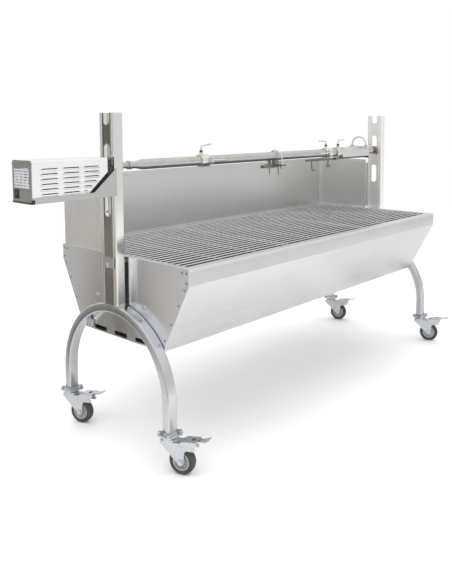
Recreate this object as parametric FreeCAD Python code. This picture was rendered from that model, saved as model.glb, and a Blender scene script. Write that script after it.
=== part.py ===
import FreeCAD, Part
import math
import os

# Rotisserie spit roaster: a folded firebox on two arch legs with four braked casters,
# two slotted posts, an outboard gearmotor, a spit with clamp-on fittings and a windscreen.
# Millimetres. X runs along the spit with the motor at -X, the open front is -Y, +Z is up.
# Shapes are built about the firebox centre on the floor, and are moved at the end so that
# the origin is the middle of the whole footprint.

V = FreeCAD.Vector
X_AXIS, Y_AXIS, Z_AXIS = V(1, 0, 0), V(0, 1, 0), V(0, 0, 1)

# ---- driving dimensions -------------------------------------------------------------
SHEET = 1.5                # stainless sheet thickness
HALF_LENGTH = 730.0        # firebox centre to an end panel's outer face
RIM_HALF_DEPTH = 295.0     # firebox centre to the rim's outer face
RIM_Z = 568.0              # top of the rim
BAND_Z = 521.0             # lower edge of the upright rim band
FLOOR_HALF_DEPTH = 189.0   # half depth of the firebox bottom
FLOOR_Z = 318.0            # underside of the firebox
RIM_FLANGE = 22.0          # width of the rim's flat top
LEDGE_DROP = 13.0          # from the rim down to the ledge that holds the grates
LEDGE_WIDTH = 11.0
AIR_SLOT_LONG, AIR_SLOT_HIGH, AIR_SLOT_PITCH = 58.0, 13.0, 97.0

LEG_WIDE = 34.0            # leg tube, along X
LEG_THICK = 27.0           # leg tube, along Y
LEG_WALL = 2.0
LEG_RADIUS = 234.0         # centre line of the arch
LEG_SPRING_Z = 180.5       # height where the arch turns into straight legs
LEG_X = HALF_LENGTH + 1.0 + LEG_WIDE / 2
FOOT_Z = 104.3             # underside of the welded foot plate

POST_WIDE = 70.0           # post channel, along Y
POST_DEEP = 32.0           # post channel, along X
POST_WALL = 2.5
POST_LIP = 7.0
POST_X0 = HALF_LENGTH + 7.0
POST_TOP = 988.0
SLOT_WIDE = 26.0
SLOT_LONG = 78.5
SLOT_PITCH = 133.0
CLAMP_Z = 547.0            # clamp bolt that ties a post to an end panel
POST_BOLT_R = 4.0
LEFT_WEB_X = -(POST_X0 + POST_DEEP)
RIGHT_WEB_X = POST_X0
RIB_RISE = 1.2             # pressed ribs that stand out from a post's web

SPIT_Z = 833.5             # spit axis, in the middle slots
SPIT_R = 15.8
RUN_FIT = 0.06             # radial clearance of a running fit

SCREEN_Y = 285.0           # windscreen back face
SCREEN_X = 727.0           # windscreen side faces
SCREEN_TOP = 790.0

MOTOR_X0, MOTOR_X1 = -1034.0, -794.0
MOTOR_Y0, MOTOR_Y1 = -38.0, 55.0
MOTOR_Z0, MOTOR_Z1 = 752.0, 861.5
PINION_Y, PINION_Z = 18.0, SPIT_Z - 24.0
GEAR_MODULE = 2.0
GEAR_TEETH, PINION_TEETH = 20, 10
GEAR_X0, GEAR_X1 = -789.0, -778.0
BRACKET_X1 = LEFT_WEB_X - RIB_RISE
FLANGE_X1 = BRACKET_X1 - 2.0   # gear case face, against the bracket's end plate
DRIVE_BOLT_Z = 793.0

WHEEL_R = 37.5
WHEEL_HALF_WIDE = 12.0
CASTER_TRAIL = 38.0
CASTER_ANGLE = -70.0       # direction in which the casters trail at rest
AXLE_R = 4.0
FORK_SIDE = 14.0           # inside half-gap of the fork
FORK_WALL = 2.5
SWIVEL_Z = 96.0            # split between swivel head and mounting plate
BOLT_CORNERS = [(-22.5, -17.5), (22.5, -17.5), (-22.5, 17.5), (22.5, 17.5)]
FOOT_BOLT_R = 3.0
PEDAL_X, PEDAL_Z = 40.0, 83.0   # brake pivot, from the swivel axis and above the floor

os.makedirs("parts", exist_ok=True)
parts = {}


# ---- helpers ------------------------------------------------------------------------
def box(x0, x1, y0, y1, z0, z1):
    return Part.makeBox(x1 - x0, y1 - y0, z1 - z0, V(x0, y0, z0))


def cylinder(start, axis, radius, length):
    return Part.makeCylinder(radius, length, start, axis)


def ring(start, axis, outer, inner, length):
    return cylinder(start, axis, outer, length).cut(cylinder(start, axis, inner, length))


def prism(points, direction):
    return Part.Face(Part.makePolygon(points + [points[0]])).extrude(direction)


def prism_x(yz, x0, x1):
    return prism([V(x0, y, z) for y, z in yz], V(x1 - x0, 0, 0))


def prism_y(xz, y0, y1):
    return prism([V(x, y0, z) for x, z in xz], V(0, y1 - y0, 0))


def prism_z(xy, z0, z1):
    return prism([V(x, y, z0) for x, y in xy], V(0, 0, z1 - z0))


def fuse(shapes):
    return shapes[0].multiFuse(shapes[1:]).removeSplitter()


def hexagon(centre, axis, across_flats, height):
    """A hexagonal prism that starts at centre and runs along axis."""
    side = V(0, 0, 1) if abs(axis.z) < 0.5 else V(1, 0, 0)
    corner = side * (across_flats / math.sqrt(3))
    points = []
    for step in range(6):
        turn = FreeCAD.Rotation(axis, 60 * step)
        points.append(centre + turn.multVec(corner))
    return prism(points, axis * height)


def offset_path(path, thickness):
    """A folded sheet's outline: the path, and the same path moved to its left."""
    normals = []
    for (a, b), (c, d) in zip(path, path[1:]):
        length = math.hypot(c - a, d - b)
        normals.append((-(d - b) / length, (c - a) / length))
    inner = []
    for index, (a, b) in enumerate(path):
        first = normals[max(index - 1, 0)]
        second = normals[min(index, len(normals) - 1)]
        scale = thickness / (1 + first[0] * second[0] + first[1] * second[1])
        inner.append((a + (first[0] + second[0]) * scale, b + (first[1] + second[1]) * scale))
    return path + inner[::-1]


def slot_cut(x0, x1, y, z_bottom, length, width):
    """An upright slot with round ends, cut along X."""
    r = width / 2
    low = cylinder(V(x0, y, z_bottom + r), X_AXIS, r, x1 - x0)
    high = cylinder(V(x0, y, z_bottom + length - r), X_AXIS, r, x1 - x0)
    return fuse([low, high, box(x0, x1, y - r, y + r, z_bottom + r, z_bottom + length - r)])


def bent_rod(points, radius, bend):
    """A round bar through the points, with arcs of radius bend at its corners."""
    edges = []
    last = points[0]
    for before, corner, after in zip(points, points[1:], points[2:]):
        back = (before - corner).normalize()
        ahead = (after - corner).normalize()
        half_turn = (math.pi - back.getAngle(ahead)) / 2
        reach = bend * math.tan(half_turn)
        start, end = corner + back * reach, corner + ahead * reach
        middle = corner + (back + ahead).normalize() * (bend / math.cos(half_turn) - bend)
        edges.append(Part.LineSegment(last, start).toShape())
        edges.append(Part.Arc(start, middle, end).toShape())
        last = end
    edges.append(Part.LineSegment(last, points[-1]).toShape())
    first_run = points[1] - points[0]
    profile = Part.Wire(Part.Circle(points[0], first_run, radius).toShape())
    return Part.Wire(edges).makePipeShell([profile], True, True)


def mirror_x(shape):
    return shape.mirror(V(0, 0, 0), X_AXIS)


def mirror_y(shape):
    return shape.mirror(V(0, 0, 0), Y_AXIS)


def add(node, shape):
    parts[node] = shape


# ---- firebox ------------------------------------------------------------------------
def long_panel():
    """Front wall: ledge, rim top, upright band, sloping wall and bottom flange."""
    rim_in = -RIM_HALF_DEPTH + RIM_FLANGE
    path = [
        (rim_in + LEDGE_WIDTH, RIM_Z - LEDGE_DROP),
        (rim_in, RIM_Z - LEDGE_DROP),
        (rim_in, RIM_Z),
        (-RIM_HALF_DEPTH, RIM_Z),
        (-RIM_HALF_DEPTH, BAND_Z),
        (-FLOOR_HALF_DEPTH, FLOOR_Z),
        (-FLOOR_HALF_DEPTH + 28, FLOOR_Z),
    ]
    reach = HALF_LENGTH - SHEET
    return prism_x(offset_path(path, SHEET), -reach, reach)


def end_panel():
    """End wall at +X with three air slots low down and a folded top edge."""
    outline = [
        (-RIM_HALF_DEPTH, RIM_Z), (-RIM_HALF_DEPTH, BAND_Z), (-FLOOR_HALF_DEPTH, FLOOR_Z),
        (FLOOR_HALF_DEPTH, FLOOR_Z), (RIM_HALF_DEPTH, BAND_Z), (RIM_HALF_DEPTH, RIM_Z),
    ]
    sheet = prism_x(outline, HALF_LENGTH - SHEET, HALF_LENGTH)
    inner = RIM_HALF_DEPTH - RIM_FLANGE
    top = box(HALF_LENGTH - RIM_FLANGE, HALF_LENGTH - SHEET, -inner, inner, RIM_Z - SHEET, RIM_Z)
    drop = box(HALF_LENGTH - RIM_FLANGE, HALF_LENGTH - RIM_FLANGE + SHEET,
               -inner, inner, RIM_Z - LEDGE_DROP, RIM_Z - SHEET)
    panel = fuse([sheet, top, drop])
    for step in (-1, 0, 1):
        y = step * AIR_SLOT_PITCH
        cut = box(HALF_LENGTH - 5, HALF_LENGTH + 5, y - AIR_SLOT_LONG / 2, y + AIR_SLOT_LONG / 2,
                  FLOOR_Z + 4.5, FLOOR_Z + 4.5 + AIR_SLOT_HIGH)
        panel = panel.cut(cut)
    return panel


add("firebox_front_panel", long_panel())
add("firebox_back_panel", mirror_y(long_panel()))
add("firebox_floor", box(-HALF_LENGTH + SHEET, HALF_LENGTH - SHEET, -FLOOR_HALF_DEPTH + 3,
                         FLOOR_HALF_DEPTH - 3, FLOOR_Z + SHEET, FLOOR_Z + 2 * SHEET))
add("end_panel_right", end_panel())
add("end_panel_left", mirror_x(end_panel()))


def charcoal_grate():
    """Slotted plate on two folded feet, standing on the firebox floor."""
    top, half_x, half_y = FLOOR_Z + 36, 700.0, 196.0
    foot_bottom = FLOOR_Z + 2 * SHEET
    plate = box(-half_x, half_x, -half_y, half_y, top - 2, top)
    feet = [box(side * half_x - 1.5, side * half_x + 1.5, -180, 180, foot_bottom, top - 1)
            for side in (-0.995, 0, 0.995)]
    plate = fuse([plate] + feet)
    slots = []
    for column in range(14):
        x = (column - 6.5) * 100
        for row in range(5):
            y = (row - 2) * 74
            slots.append(box(x - 32, x + 32, y - 6, y + 6, top - 3, top + 1))
    return plate.cut(slots)


add("charcoal_grate", charcoal_grate())

GRATE_BAR_R, GRATE_PITCH, GRATE_CROSS_R = 3.0, 24.0, 3.5
GRATE_LENGTH = (2 * (HALF_LENGTH - RIM_FLANGE) - 8) / 3
GRATE_CROSS_Z = RIM_Z - LEDGE_DROP + 0.3 + GRATE_CROSS_R
GRATE_BAR_Z = RIM_Z - 0.7 - GRATE_BAR_R
GRATE_HALF_Y = RIM_HALF_DEPTH - RIM_FLANGE - 2.5


def cooking_grate(x_middle):
    """Round bars along X, welded on four cross rods that hang on the ledges."""
    half = GRATE_LENGTH / 2
    solids = []
    for step in (-1, -1 / 3, 1 / 3, 1):
        x = x_middle + step * (half - 9)
        start = V(x, -GRATE_HALF_Y, GRATE_CROSS_Z)
        solids.append(cylinder(start, Y_AXIS, GRATE_CROSS_R, 2 * GRATE_HALF_Y))
    count = int((GRATE_HALF_Y - 4) // GRATE_PITCH)
    for step in range(-count, count + 1):
        start = V(x_middle - half, step * GRATE_PITCH, GRATE_BAR_Z)
        solids.append(cylinder(start, X_AXIS, GRATE_BAR_R, GRATE_LENGTH))
    return solids[0].multiFuse(solids[1:])


for side, name in ((-1, "left"), (0, "middle"), (1, "right")):
    add("cooking_grate_" + name, cooking_grate(side * (GRATE_LENGTH + 2)))

# ---- windscreen ---------------------------------------------------------------------
HEM = 12.0


def windscreen_back():
    sheet = box(-SCREEN_X, SCREEN_X, SCREEN_Y - SHEET, SCREEN_Y, RIM_Z, SCREEN_TOP)
    hem = box(-SCREEN_X + 4, SCREEN_X - 4, SCREEN_Y - 2 * SHEET - 0.5, SCREEN_Y - SHEET,
              SCREEN_TOP - HEM, SCREEN_TOP)
    foot = box(-SCREEN_X + 30, SCREEN_X - 30, SCREEN_Y - 12, SCREEN_Y - SHEET,
               RIM_Z, RIM_Z + SHEET)
    return fuse([sheet, hem, foot])


def windscreen_wing():
    """Side wing at +X, from the back panel forward to a tab bolted on the post."""
    front, back = POST_WIDE / 2 + 1.0, SCREEN_Y - SHEET
    sheet = box(SCREEN_X - SHEET, SCREEN_X, front, back, RIM_Z, SCREEN_TOP)
    hem = box(SCREEN_X - 2 * SHEET - 0.5, SCREEN_X - SHEET, front, back - 4,
              SCREEN_TOP - HEM, SCREEN_TOP)
    tab = box(SCREEN_X - SHEET, POST_X0 + 20, front - 1.0, front + SHEET - 1.0,
              RIM_Z + 4, SCREEN_TOP - 16)
    corner = box(SCREEN_X - 16, SCREEN_X - SHEET, back - SHEET, back, RIM_Z + 2, SCREEN_TOP - 14)
    return fuse([sheet, hem, tab, corner])


add("windscreen_back", windscreen_back())
add("windscreen_wing_right", windscreen_wing())
add("windscreen_wing_left", mirror_x(windscreen_wing()))


# ---- legs and posts -----------------------------------------------------------------
def tube_profile(inset):
    """Rounded rectangle in the XY plane at the arch's springing height."""
    half_x, half_y, r = LEG_WIDE / 2 - inset, LEG_THICK / 2 - inset, 5.0 - inset
    solid = Part.makeBox(2 * half_x, 2 * half_y, 1, V(LEG_X - half_x, LEG_RADIUS - half_y, 0))
    upright = [e for e in solid.Edges if abs(e.Vertexes[0].Z - e.Vertexes[1].Z) > 0.5]
    face = solid.makeFillet(r, upright).Faces
    bottom = min(face, key=lambda f: f.CenterOfMass.z)
    bottom.translate(V(0, 0, LEG_SPRING_Z))
    return bottom


def arch_leg():
    """Bent tube, open inside, with a welded foot plate at each end and two lugs."""
    shells = []
    foot_top = FOOT_Z + 3.7
    for inset in (0.0, LEG_WALL):
        face = tube_profile(inset)
        arch = face.revolve(V(LEG_X, 0, LEG_SPRING_Z), X_AXIS, 180)
        straight = face.extrude(V(0, 0, foot_top - LEG_SPRING_Z))
        shells.append(fuse([arch, straight, mirror_y(straight)]))
    tube = shells[0].cut(shells[1])
    pieces = [tube]
    for side in (-1, 1):
        plate = box(LEG_X - 30, LEG_X + 30, side * LEG_RADIUS - 25, side * LEG_RADIUS + 25,
                    FOOT_Z, foot_top)
        upright = [e for e in plate.Edges if abs(e.Vertexes[0].Z - e.Vertexes[1].Z) > 0.5]
        plate = plate.makeFillet(8, upright)
        for dx, dy in BOLT_CORNERS:
            start = V(LEG_X + dx, side * LEG_RADIUS + dy, FOOT_Z - 1)
            plate = plate.cut(cylinder(start, Z_AXIS, FOOT_BOLT_R + 0.3, 8))
        pieces.append(plate)
        lug = prism_x([(side * 165, 322), (side * 128, 322), (side * 128, 346), (side * 150, 352)],
                      LEG_X - LEG_WIDE / 2, LEG_X - LEG_WIDE / 2 + 3)
        pieces.append(lug)
    return fuse(pieces)


add("arch_leg_right", arch_leg())
add("arch_leg_left", mirror_x(arch_leg()))


def post(web_x):
    """Lipped channel with its slotted web at web_x, open towards +X."""
    half, far = POST_WIDE / 2, web_x + POST_DEEP
    low = LEG_SPRING_Z + LEG_RADIUS
    outline = [
        (web_x, -half), (far, -half), (far, -half + POST_LIP),
        (far - POST_WALL, -half + POST_LIP), (far - POST_WALL, -half + POST_WALL),
        (web_x + POST_WALL, -half + POST_WALL), (web_x + POST_WALL, half - POST_WALL),
        (far - POST_WALL, half - POST_WALL), (far - POST_WALL, half - POST_LIP),
        (far, half - POST_LIP), (far, half), (web_x, half),
    ]
    channel = prism_z(outline, low, POST_TOP)
    ribs = [box(web_x - RIB_RISE, web_x, side * 23 - 1.5, side * 23 + 1.5, low + 15, POST_TOP)
            for side in (-1, 1)]
    channel = fuse([channel] + ribs)
    arch_top = cylinder(V(web_x - 20, 0, LEG_SPRING_Z), X_AXIS, LEG_RADIUS + LEG_THICK / 2, 80)
    cuts = [arch_top]
    slot_low = SPIT_Z - SLOT_WIDE / 2
    for step in (-1, 0, 1):
        cuts.append(slot_cut(web_x - 2, web_x + POST_WALL + 1, 0, slot_low + step * SLOT_PITCH,
                             SLOT_LONG, SLOT_WIDE))
    cuts.append(cylinder(V(web_x - 2, 0, CLAMP_Z), X_AXIS, POST_BOLT_R + 0.3, POST_WALL + 4))
    return channel.cut(cuts)


add("post_right", post(RIGHT_WEB_X))
add("post_left", post(LEFT_WEB_X))


CLAMP_THICK = 4.0


def clamp_plate(web_x):
    face = web_x - RIB_RISE
    plate = box(face - CLAMP_THICK, face, -27, 20, CLAMP_Z - 8, CLAMP_Z + 22)
    return plate.cut(cylinder(V(web_x - 6, 0, CLAMP_Z), X_AXIS, POST_BOLT_R + 0.3, 6))


clamp_left = clamp_plate(LEFT_WEB_X)
clamp_right = box(RIGHT_WEB_X + POST_WALL, RIGHT_WEB_X + POST_WALL + CLAMP_THICK, -22, 22,
                  CLAMP_Z - 15, CLAMP_Z + 15)
clamp_right = clamp_right.cut(cylinder(V(RIGHT_WEB_X, 0, CLAMP_Z), X_AXIS, POST_BOLT_R + 0.3, 9))
spacers = []
for side in (-1, 1):
    start = V(side * HALF_LENGTH, 0, CLAMP_Z)
    spacers.append(ring(start, X_AXIS * side, 9, POST_BOLT_R + 0.3, 7))
add("post_clamp_plates", Part.makeCompound([clamp_left, clamp_right] + spacers))


def hex_bolt(tip, axis, radius, grip, across_flats):
    """A bolt whose shank starts at tip and runs along axis, then its head."""
    shank = cylinder(tip, axis, radius, grip + 0.5)
    head = hexagon(tip + axis * grip, axis, across_flats, 5)
    return fuse([shank, head])


def frame_bolts():
    bolts = []
    inner = HALF_LENGTH - SHEET
    left_grip = -LEFT_WEB_X + RIB_RISE + CLAMP_THICK - inner
    bolts.append(hex_bolt(V(-inner, 0, CLAMP_Z), V(-1, 0, 0), POST_BOLT_R, left_grip, 13))
    right_grip = RIGHT_WEB_X + POST_WALL + CLAMP_THICK - inner
    bolts.append(hex_bolt(V(inner, 0, CLAMP_Z), V(1, 0, 0), POST_BOLT_R, right_grip, 13))
    for side in (-1, 1):
        axis = V(side, 0, 0)
        for y in (-112, 112):
            bolts.append(hex_bolt(V(side * inner, y, 431), axis, 3.0, SHEET, 10))
        for y in (-140, 140):
            lug_face = LEG_X - LEG_WIDE / 2 + 3 - HALF_LENGTH
            bolts.append(hex_bolt(V(side * inner, y, 333.5), axis, 4.0, SHEET + lug_face, 13))
        wing = V(side * (POST_X0 + 10), POST_WIDE / 2 - POST_WALL, 697)
        bolts.append(hex_bolt(wing, Y_AXIS, 3.0, POST_WALL + SHEET, 10))
    for y in (-14, 14):
        tip = V(GEAR_X1 + 4, y, DRIVE_BOLT_Z)
        bolts.append(hex_bolt(tip, X_AXIS, 3.0, LEFT_WEB_X + POST_WALL - tip.x, 10))
    return Part.makeCompound(bolts)


def panel_rivets():
    """Domed rivets down the sloping edges of both end panels."""
    slope = V(0, RIM_HALF_DEPTH - FLOOR_HALF_DEPTH, BAND_Z - FLOOR_Z).normalize()
    spots = [(-RIM_HALF_DEPTH + 9, RIM_Z - 12), (-RIM_HALF_DEPTH + 26, RIM_Z - 12),
             (-RIM_HALF_DEPTH + 9, BAND_Z + 8)]
    for reach in (14, 66, 132, 190):
        spots.append((-RIM_HALF_DEPTH + 11 + slope.y * reach, BAND_Z - slope.z * reach))
    rivets = []
    for side in (-1, 1):
        for y, z in spots:
            for flip in (-1, 1):
                centre = V(side * (HALF_LENGTH - 1.5), -y * flip, z)
                ball = Part.makeSphere(4.0, centre)
                outside = box(HALF_LENGTH, HALF_LENGTH + 9, -400, 400, 0, 700)
                rivets.append(ball.common(outside if side > 0 else mirror_x(outside)))
    return Part.makeCompound(rivets)


add("panel_rivets", panel_rivets())


# ---- drive --------------------------------------------------------------------------
GUSSET_X1 = -764.0          # the front gusset laps over the post's flange


def motor_bracket():
    """Tray under the motor, bolted to the left post, with a gusset on each side."""
    post_face = BRACKET_X1
    base = box(MOTOR_X0 + 2, post_face, MOTOR_Y0, MOTOR_Y1, MOTOR_Z0 - 2, MOTOR_Z0)
    low = MOTOR_Z0 - 2
    side = [(MOTOR_X0 + 2, low), (GUSSET_X1, low), (GUSSET_X1, 829), (GUSSET_X1 - 2, 829),
            (-842, 766), (MOTOR_X0 + 2, 766)]
    front = prism_y(side, MOTOR_Y0, MOTOR_Y0 + 2)
    side = [(min(x, post_face), z) for x, z in side]
    back = prism_y(side, MOTOR_Y1 - 2, MOTOR_Y1)
    end = box(FLANGE_X1, post_face, MOTOR_Y0, MOTOR_Y1, MOTOR_Z0 - 2, 812)
    return fuse([base, front, back, end])


add("motor_bracket", motor_bracket())

COVER_Y0, COVER_Y1 = MOTOR_Y0 + 2.0, MOTOR_Y1 - 2.0
COVER_BEND = 6.0
LOUVRE_TOP_Z, LOUVRE_PITCH = 838.0, 13.2
CUT_LOW, CUT_HIGH = (-858.0, 766.0), (MOTOR_X1 + 1, 822.0)   # the cover's sloping lower edge


def cover_tube(inset):
    """Inverted U section with bent top corners, as a solid bar."""
    y0, y1 = COVER_Y0 + inset, COVER_Y1 - inset
    top = MOTOR_Z1 - inset
    r = COVER_BEND - inset
    low = MOTOR_Z0 + 2
    block = Part.makeBox(MOTOR_X1 - MOTOR_X0, y1 - y0, top - low, V(MOTOR_X0, y0, low))
    bends = [e for e in block.Edges
             if min(v.Z for v in e.Vertexes) > top - 0.1 and abs(e.Vertexes[0].Y - e.Vertexes[1].Y) < 0.1]
    return block.makeFillet(r, bends)


def louvre(x, z, length):
    """One pressed louvre on the front wall: a hood, and the slit above it."""
    hoods = []
    for r in (4.6, 3.4):
        ends = [Part.makeSphere(r, V(x + s * (length / 2 - 4.6), COVER_Y0, z)) for s in (-1, 1)]
        bar = cylinder(V(x - length / 2 + 4.6, COVER_Y0, z), X_AXIS, r, length - 9.2)
        hoods.append(fuse([bar] + ends))
    quarter = box(x - length, x + length, COVER_Y0 - 9, COVER_Y0 + 0.4, z - 9, z)
    hood = hoods[0].common(quarter).cut(hoods[1])
    slit = box(x - length / 2 + 5, x + length / 2 - 5, COVER_Y0 - 1, COVER_Y0 + 3, z, z + 2.4)
    return hood, slit


def motor_cover():
    shell = cover_tube(0).cut(cover_tube(1.3))
    corner = prism_y([(CUT_LOW[0], MOTOR_Z0 - 5), CUT_LOW, CUT_HIGH,
                      (CUT_HIGH[0], MOTOR_Z0 - 5)], MOTOR_Y0 - 5, MOTOR_Y1 + 5)
    shell = shell.cut(corner)
    hoods, slits = [], []
    slope = (CUT_HIGH[0] - CUT_LOW[0]) / (CUT_HIGH[1] - CUT_LOW[1])
    for left, longest in ((-1008, 56), (-941.5, 57.5), (-876, 56)):
        for row in range(6):
            z = LOUVRE_TOP_Z - LOUVRE_PITCH * row
            edge = CUT_LOW[0] + (z - 2 - CUT_LOW[1]) * slope - 6
            length = longest if left < -900 or edge > left + longest else edge - left
            if length < 15:
                continue
            hood, slit = louvre(left + length / 2, z, length)
            hoods.append(hood)
            slits.append(slit)
    middle = V(0, (COVER_Y0 + COVER_Y1) / 2, 0)
    hoods += [h.mirror(middle, Y_AXIS) for h in hoods]
    slits += [s.mirror(middle, Y_AXIS) for s in slits]
    return shell.cut(slits).multiFuse(hoods)


add("motor_cover", motor_cover())

SWITCH_Y, SWITCH_Z = 35.0, 774.0
SWITCH_HALF_Y, SWITCH_HALF_Z = 7.0, 10.5
ROCKER_PIN_R = 1.2


def motor_end_plate():
    """Dark end of the motor housing, with the switch opening."""
    x0 = MOTOR_X0 - 2
    plate = box(x0, MOTOR_X0, MOTOR_Y0, MOTOR_Y1, MOTOR_Z0 - 2, MOTOR_Z1 + 1)
    corners = [e for e in plate.Edges if abs(e.Vertexes[0].X - e.Vertexes[1].X) > 1
               and e.Vertexes[0].Z > MOTOR_Z1]
    plate = plate.makeFillet(7, corners)
    lip = box(x0 - 6, x0 + 0.5, MOTOR_Y0 + 6, MOTOR_Y1 - 6, MOTOR_Z1 - 9, MOTOR_Z1 - 7)
    hole = box(x0 - 1, MOTOR_X0 + 1, SWITCH_Y - SWITCH_HALF_Y, SWITCH_Y + SWITCH_HALF_Y,
               SWITCH_Z - SWITCH_HALF_Z, SWITCH_Z + SWITCH_HALF_Z)
    return fuse([plate, lip]).cut(hole)


add("motor_end_plate", motor_end_plate())


def rocker_pin(radius, half_length):
    return cylinder(V(MOTOR_X0 - 1, SWITCH_Y - half_length, SWITCH_Z), Y_AXIS, radius,
                    2 * half_length)


def switch_bezel():
    face = MOTOR_X0 - 2
    y, z, hy, hz = SWITCH_Y, SWITCH_Z, SWITCH_HALF_Y, SWITCH_HALF_Z
    flange = box(face - 2.5, face, y - hy - 2, y + hy + 2, z - hz - 2, z + hz + 2)
    body = box(face - 0.5, face + 20, y - hy, y + hy, z - hz, z + hz)
    pocket = box(face - 5, face + 12, y - hy + 1.5, y + hy - 1.5, z - hz + 1.5, z + hz - 1.5)
    pin_holes = rocker_pin(ROCKER_PIN_R + RUN_FIT, SWITCH_HALF_Y - 0.6)
    return fuse([flange, body]).cut([pocket, pin_holes])


def switch_rocker():
    """Rocker with its top half pushed in; it turns about a pin along Y."""
    x, y, z = MOTOR_X0 - 3.0, SWITCH_Y, SWITCH_Z
    outline = [(x - 2.5, z - 7.6), (x - 1.0, z), (x - 2.5, z + 7.6), (x + 5, z + 5.5),
               (x + 5, z - 5.5)]
    rocker = prism_y(outline, y - SWITCH_HALF_Y + 2, y + SWITCH_HALF_Y - 2)
    rocker.rotate(V(x + 2, y, z), Y_AXIS, 8)
    return rocker.fuse(rocker_pin(ROCKER_PIN_R, SWITCH_HALF_Y - 0.8))


add("switch_bezel", switch_bezel())
add("switch_rocker", switch_rocker())


def gear(centre, teeth, phase, x0, x1):
    """A straight-sided spur gear with a little backlash."""
    pitch_r = GEAR_MODULE * teeth / 2
    tip_r, root_r = pitch_r + 0.85 * GEAR_MODULE, pitch_r - 1.15 * GEAR_MODULE
    step = 2 * math.pi / teeth
    points = []
    for tooth in range(teeth):
        middle = phase + tooth * step
        for angle, radius in ((-0.30, root_r), (-0.115, tip_r), (0.115, tip_r), (0.30, root_r)):
            turn = middle + angle * step
            points.append(V(x0, centre.y + radius * math.cos(turn),
                            centre.z + radius * math.sin(turn)))
    return prism(points, V(x1 - x0, 0, 0))


def drive_gear():
    """Output gear, its shaft through the housing and the square-holed spit socket."""
    centre = V(0, 0, SPIT_Z)
    towards_pinion = math.atan2(PINION_Z - SPIT_Z, PINION_Y)
    wheel = gear(centre, GEAR_TEETH, towards_pinion, GEAR_X0, GEAR_X1)
    shaft = cylinder(V(GEAR_X0, 0, SPIT_Z), X_AXIS, 8.0, -770 - GEAR_X0)
    socket = cylinder(V(FLANGE_X1 + 0.7, 0, SPIT_Z), X_AXIS, 11.5, 27)
    hole = box(-768, -740, -6.3, 6.3, SPIT_Z - 6.3, SPIT_Z + 6.3)
    return fuse([wheel, shaft, socket]).cut(hole)


def motor_pinion():
    centre = V(0, PINION_Y, PINION_Z)
    towards_gear = math.atan2(SPIT_Z - PINION_Z, -PINION_Y)
    half_step = math.pi / PINION_TEETH
    wheel = gear(centre, PINION_TEETH, towards_gear + half_step, GEAR_X0, GEAR_X1)
    shaft = cylinder(V(-845, PINION_Y, PINION_Z), X_AXIS, 4.0, GEAR_X1 + 3 + 845)
    return fuse([wheel, shaft])


def gearbox_housing():
    """Black gear case with a round top, hollow round the two gears."""
    x0 = GEAR_X0 - 4
    front = box(x0, FLANGE_X1, MOTOR_Y0 + 4, MOTOR_Y1 - 4, 763, SPIT_Z + 1)
    edges = [e for e in front.Edges if abs(e.Vertexes[0].X - e.Vertexes[1].X) > 1]
    front = front.makeFillet(9, edges)
    dome = cylinder(V(x0, 0, SPIT_Z), X_AXIS, 26.5, FLANGE_X1 - x0)
    rear = box(-862, x0, MOTOR_Y0 + 8, MOTOR_Y1 - 8, 766, 852)
    case = fuse([front, dome, rear])
    gear_room = cylinder(V(GEAR_X0 - 1, 0, SPIT_Z), X_AXIS, 22.5, GEAR_X1 - GEAR_X0 + 2)
    pinion_room = cylinder(V(GEAR_X0 - 1, PINION_Y, PINION_Z), X_AXIS, 14.0,
                           GEAR_X1 - GEAR_X0 + 2)
    shaft_hole = cylinder(V(GEAR_X1, 0, SPIT_Z), X_AXIS, 8.0 + RUN_FIT, 30)
    pinion_hole = cylinder(V(-850, PINION_Y, PINION_Z), X_AXIS, 4.0 + RUN_FIT, GEAR_X1 + 3.5 + 850)
    return case.cut([gear_room, pinion_room, shaft_hole, pinion_hole])


def motor_body():
    can = cylinder(V(-1000, PINION_Y, PINION_Z), X_AXIS, 32.0, 128)
    cap = cylinder(V(-1008, PINION_Y, PINION_Z), X_AXIS, 14.0, 9)
    neck = cylinder(V(-873, PINION_Y, PINION_Z), X_AXIS, 20.0, 11)
    return fuse([can, cap, neck])


add("drive_gear", drive_gear())
add("motor_pinion", motor_pinion())
add("gearbox_housing", gearbox_housing())
add("motor_body", motor_body())

# Every bolt cuts its own hole in the pieces that it passes through.
bolt_group = frame_bolts()
for node in ("end_panel_left", "end_panel_right", "arch_leg_left", "arch_leg_right",
             "windscreen_wing_left", "windscreen_wing_right", "post_left", "post_right",
             "motor_bracket", "gearbox_housing"):
    near = [b for b in bolt_group.Solids if b.BoundBox.intersect(parts[node].BoundBox)]
    parts[node] = parts[node].cut(near)
add("frame_bolts", bolt_group)

# ---- spit ---------------------------------------------------------------------------
JOURNAL_R = 9.0
BEARING_R = SLOT_WIDE / 2 - 0.1


def spit_rod():
    """Square drive end, neck, collar and cone, long bar, and the right journal."""
    square = box(-766, -742, -6, 6, SPIT_Z - 6, SPIT_Z + 6)
    profile = [(-744, 0), (-744, 9.5), (-694, 9.5), (-694, 13), (-682, 13), (-682, 11),
               (-662, 11), (-640, SPIT_R), (704, SPIT_R), (704, JOURNAL_R), (764, JOURNAL_R),
               (766, JOURNAL_R - 2), (766, 0)]
    face = Part.Face(Part.makePolygon([V(x, 0, SPIT_Z + r) for x, r in profile + profile[:1]]))
    return fuse([square, face.revolve(V(0, 0, SPIT_Z), X_AXIS, 360)])


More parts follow.
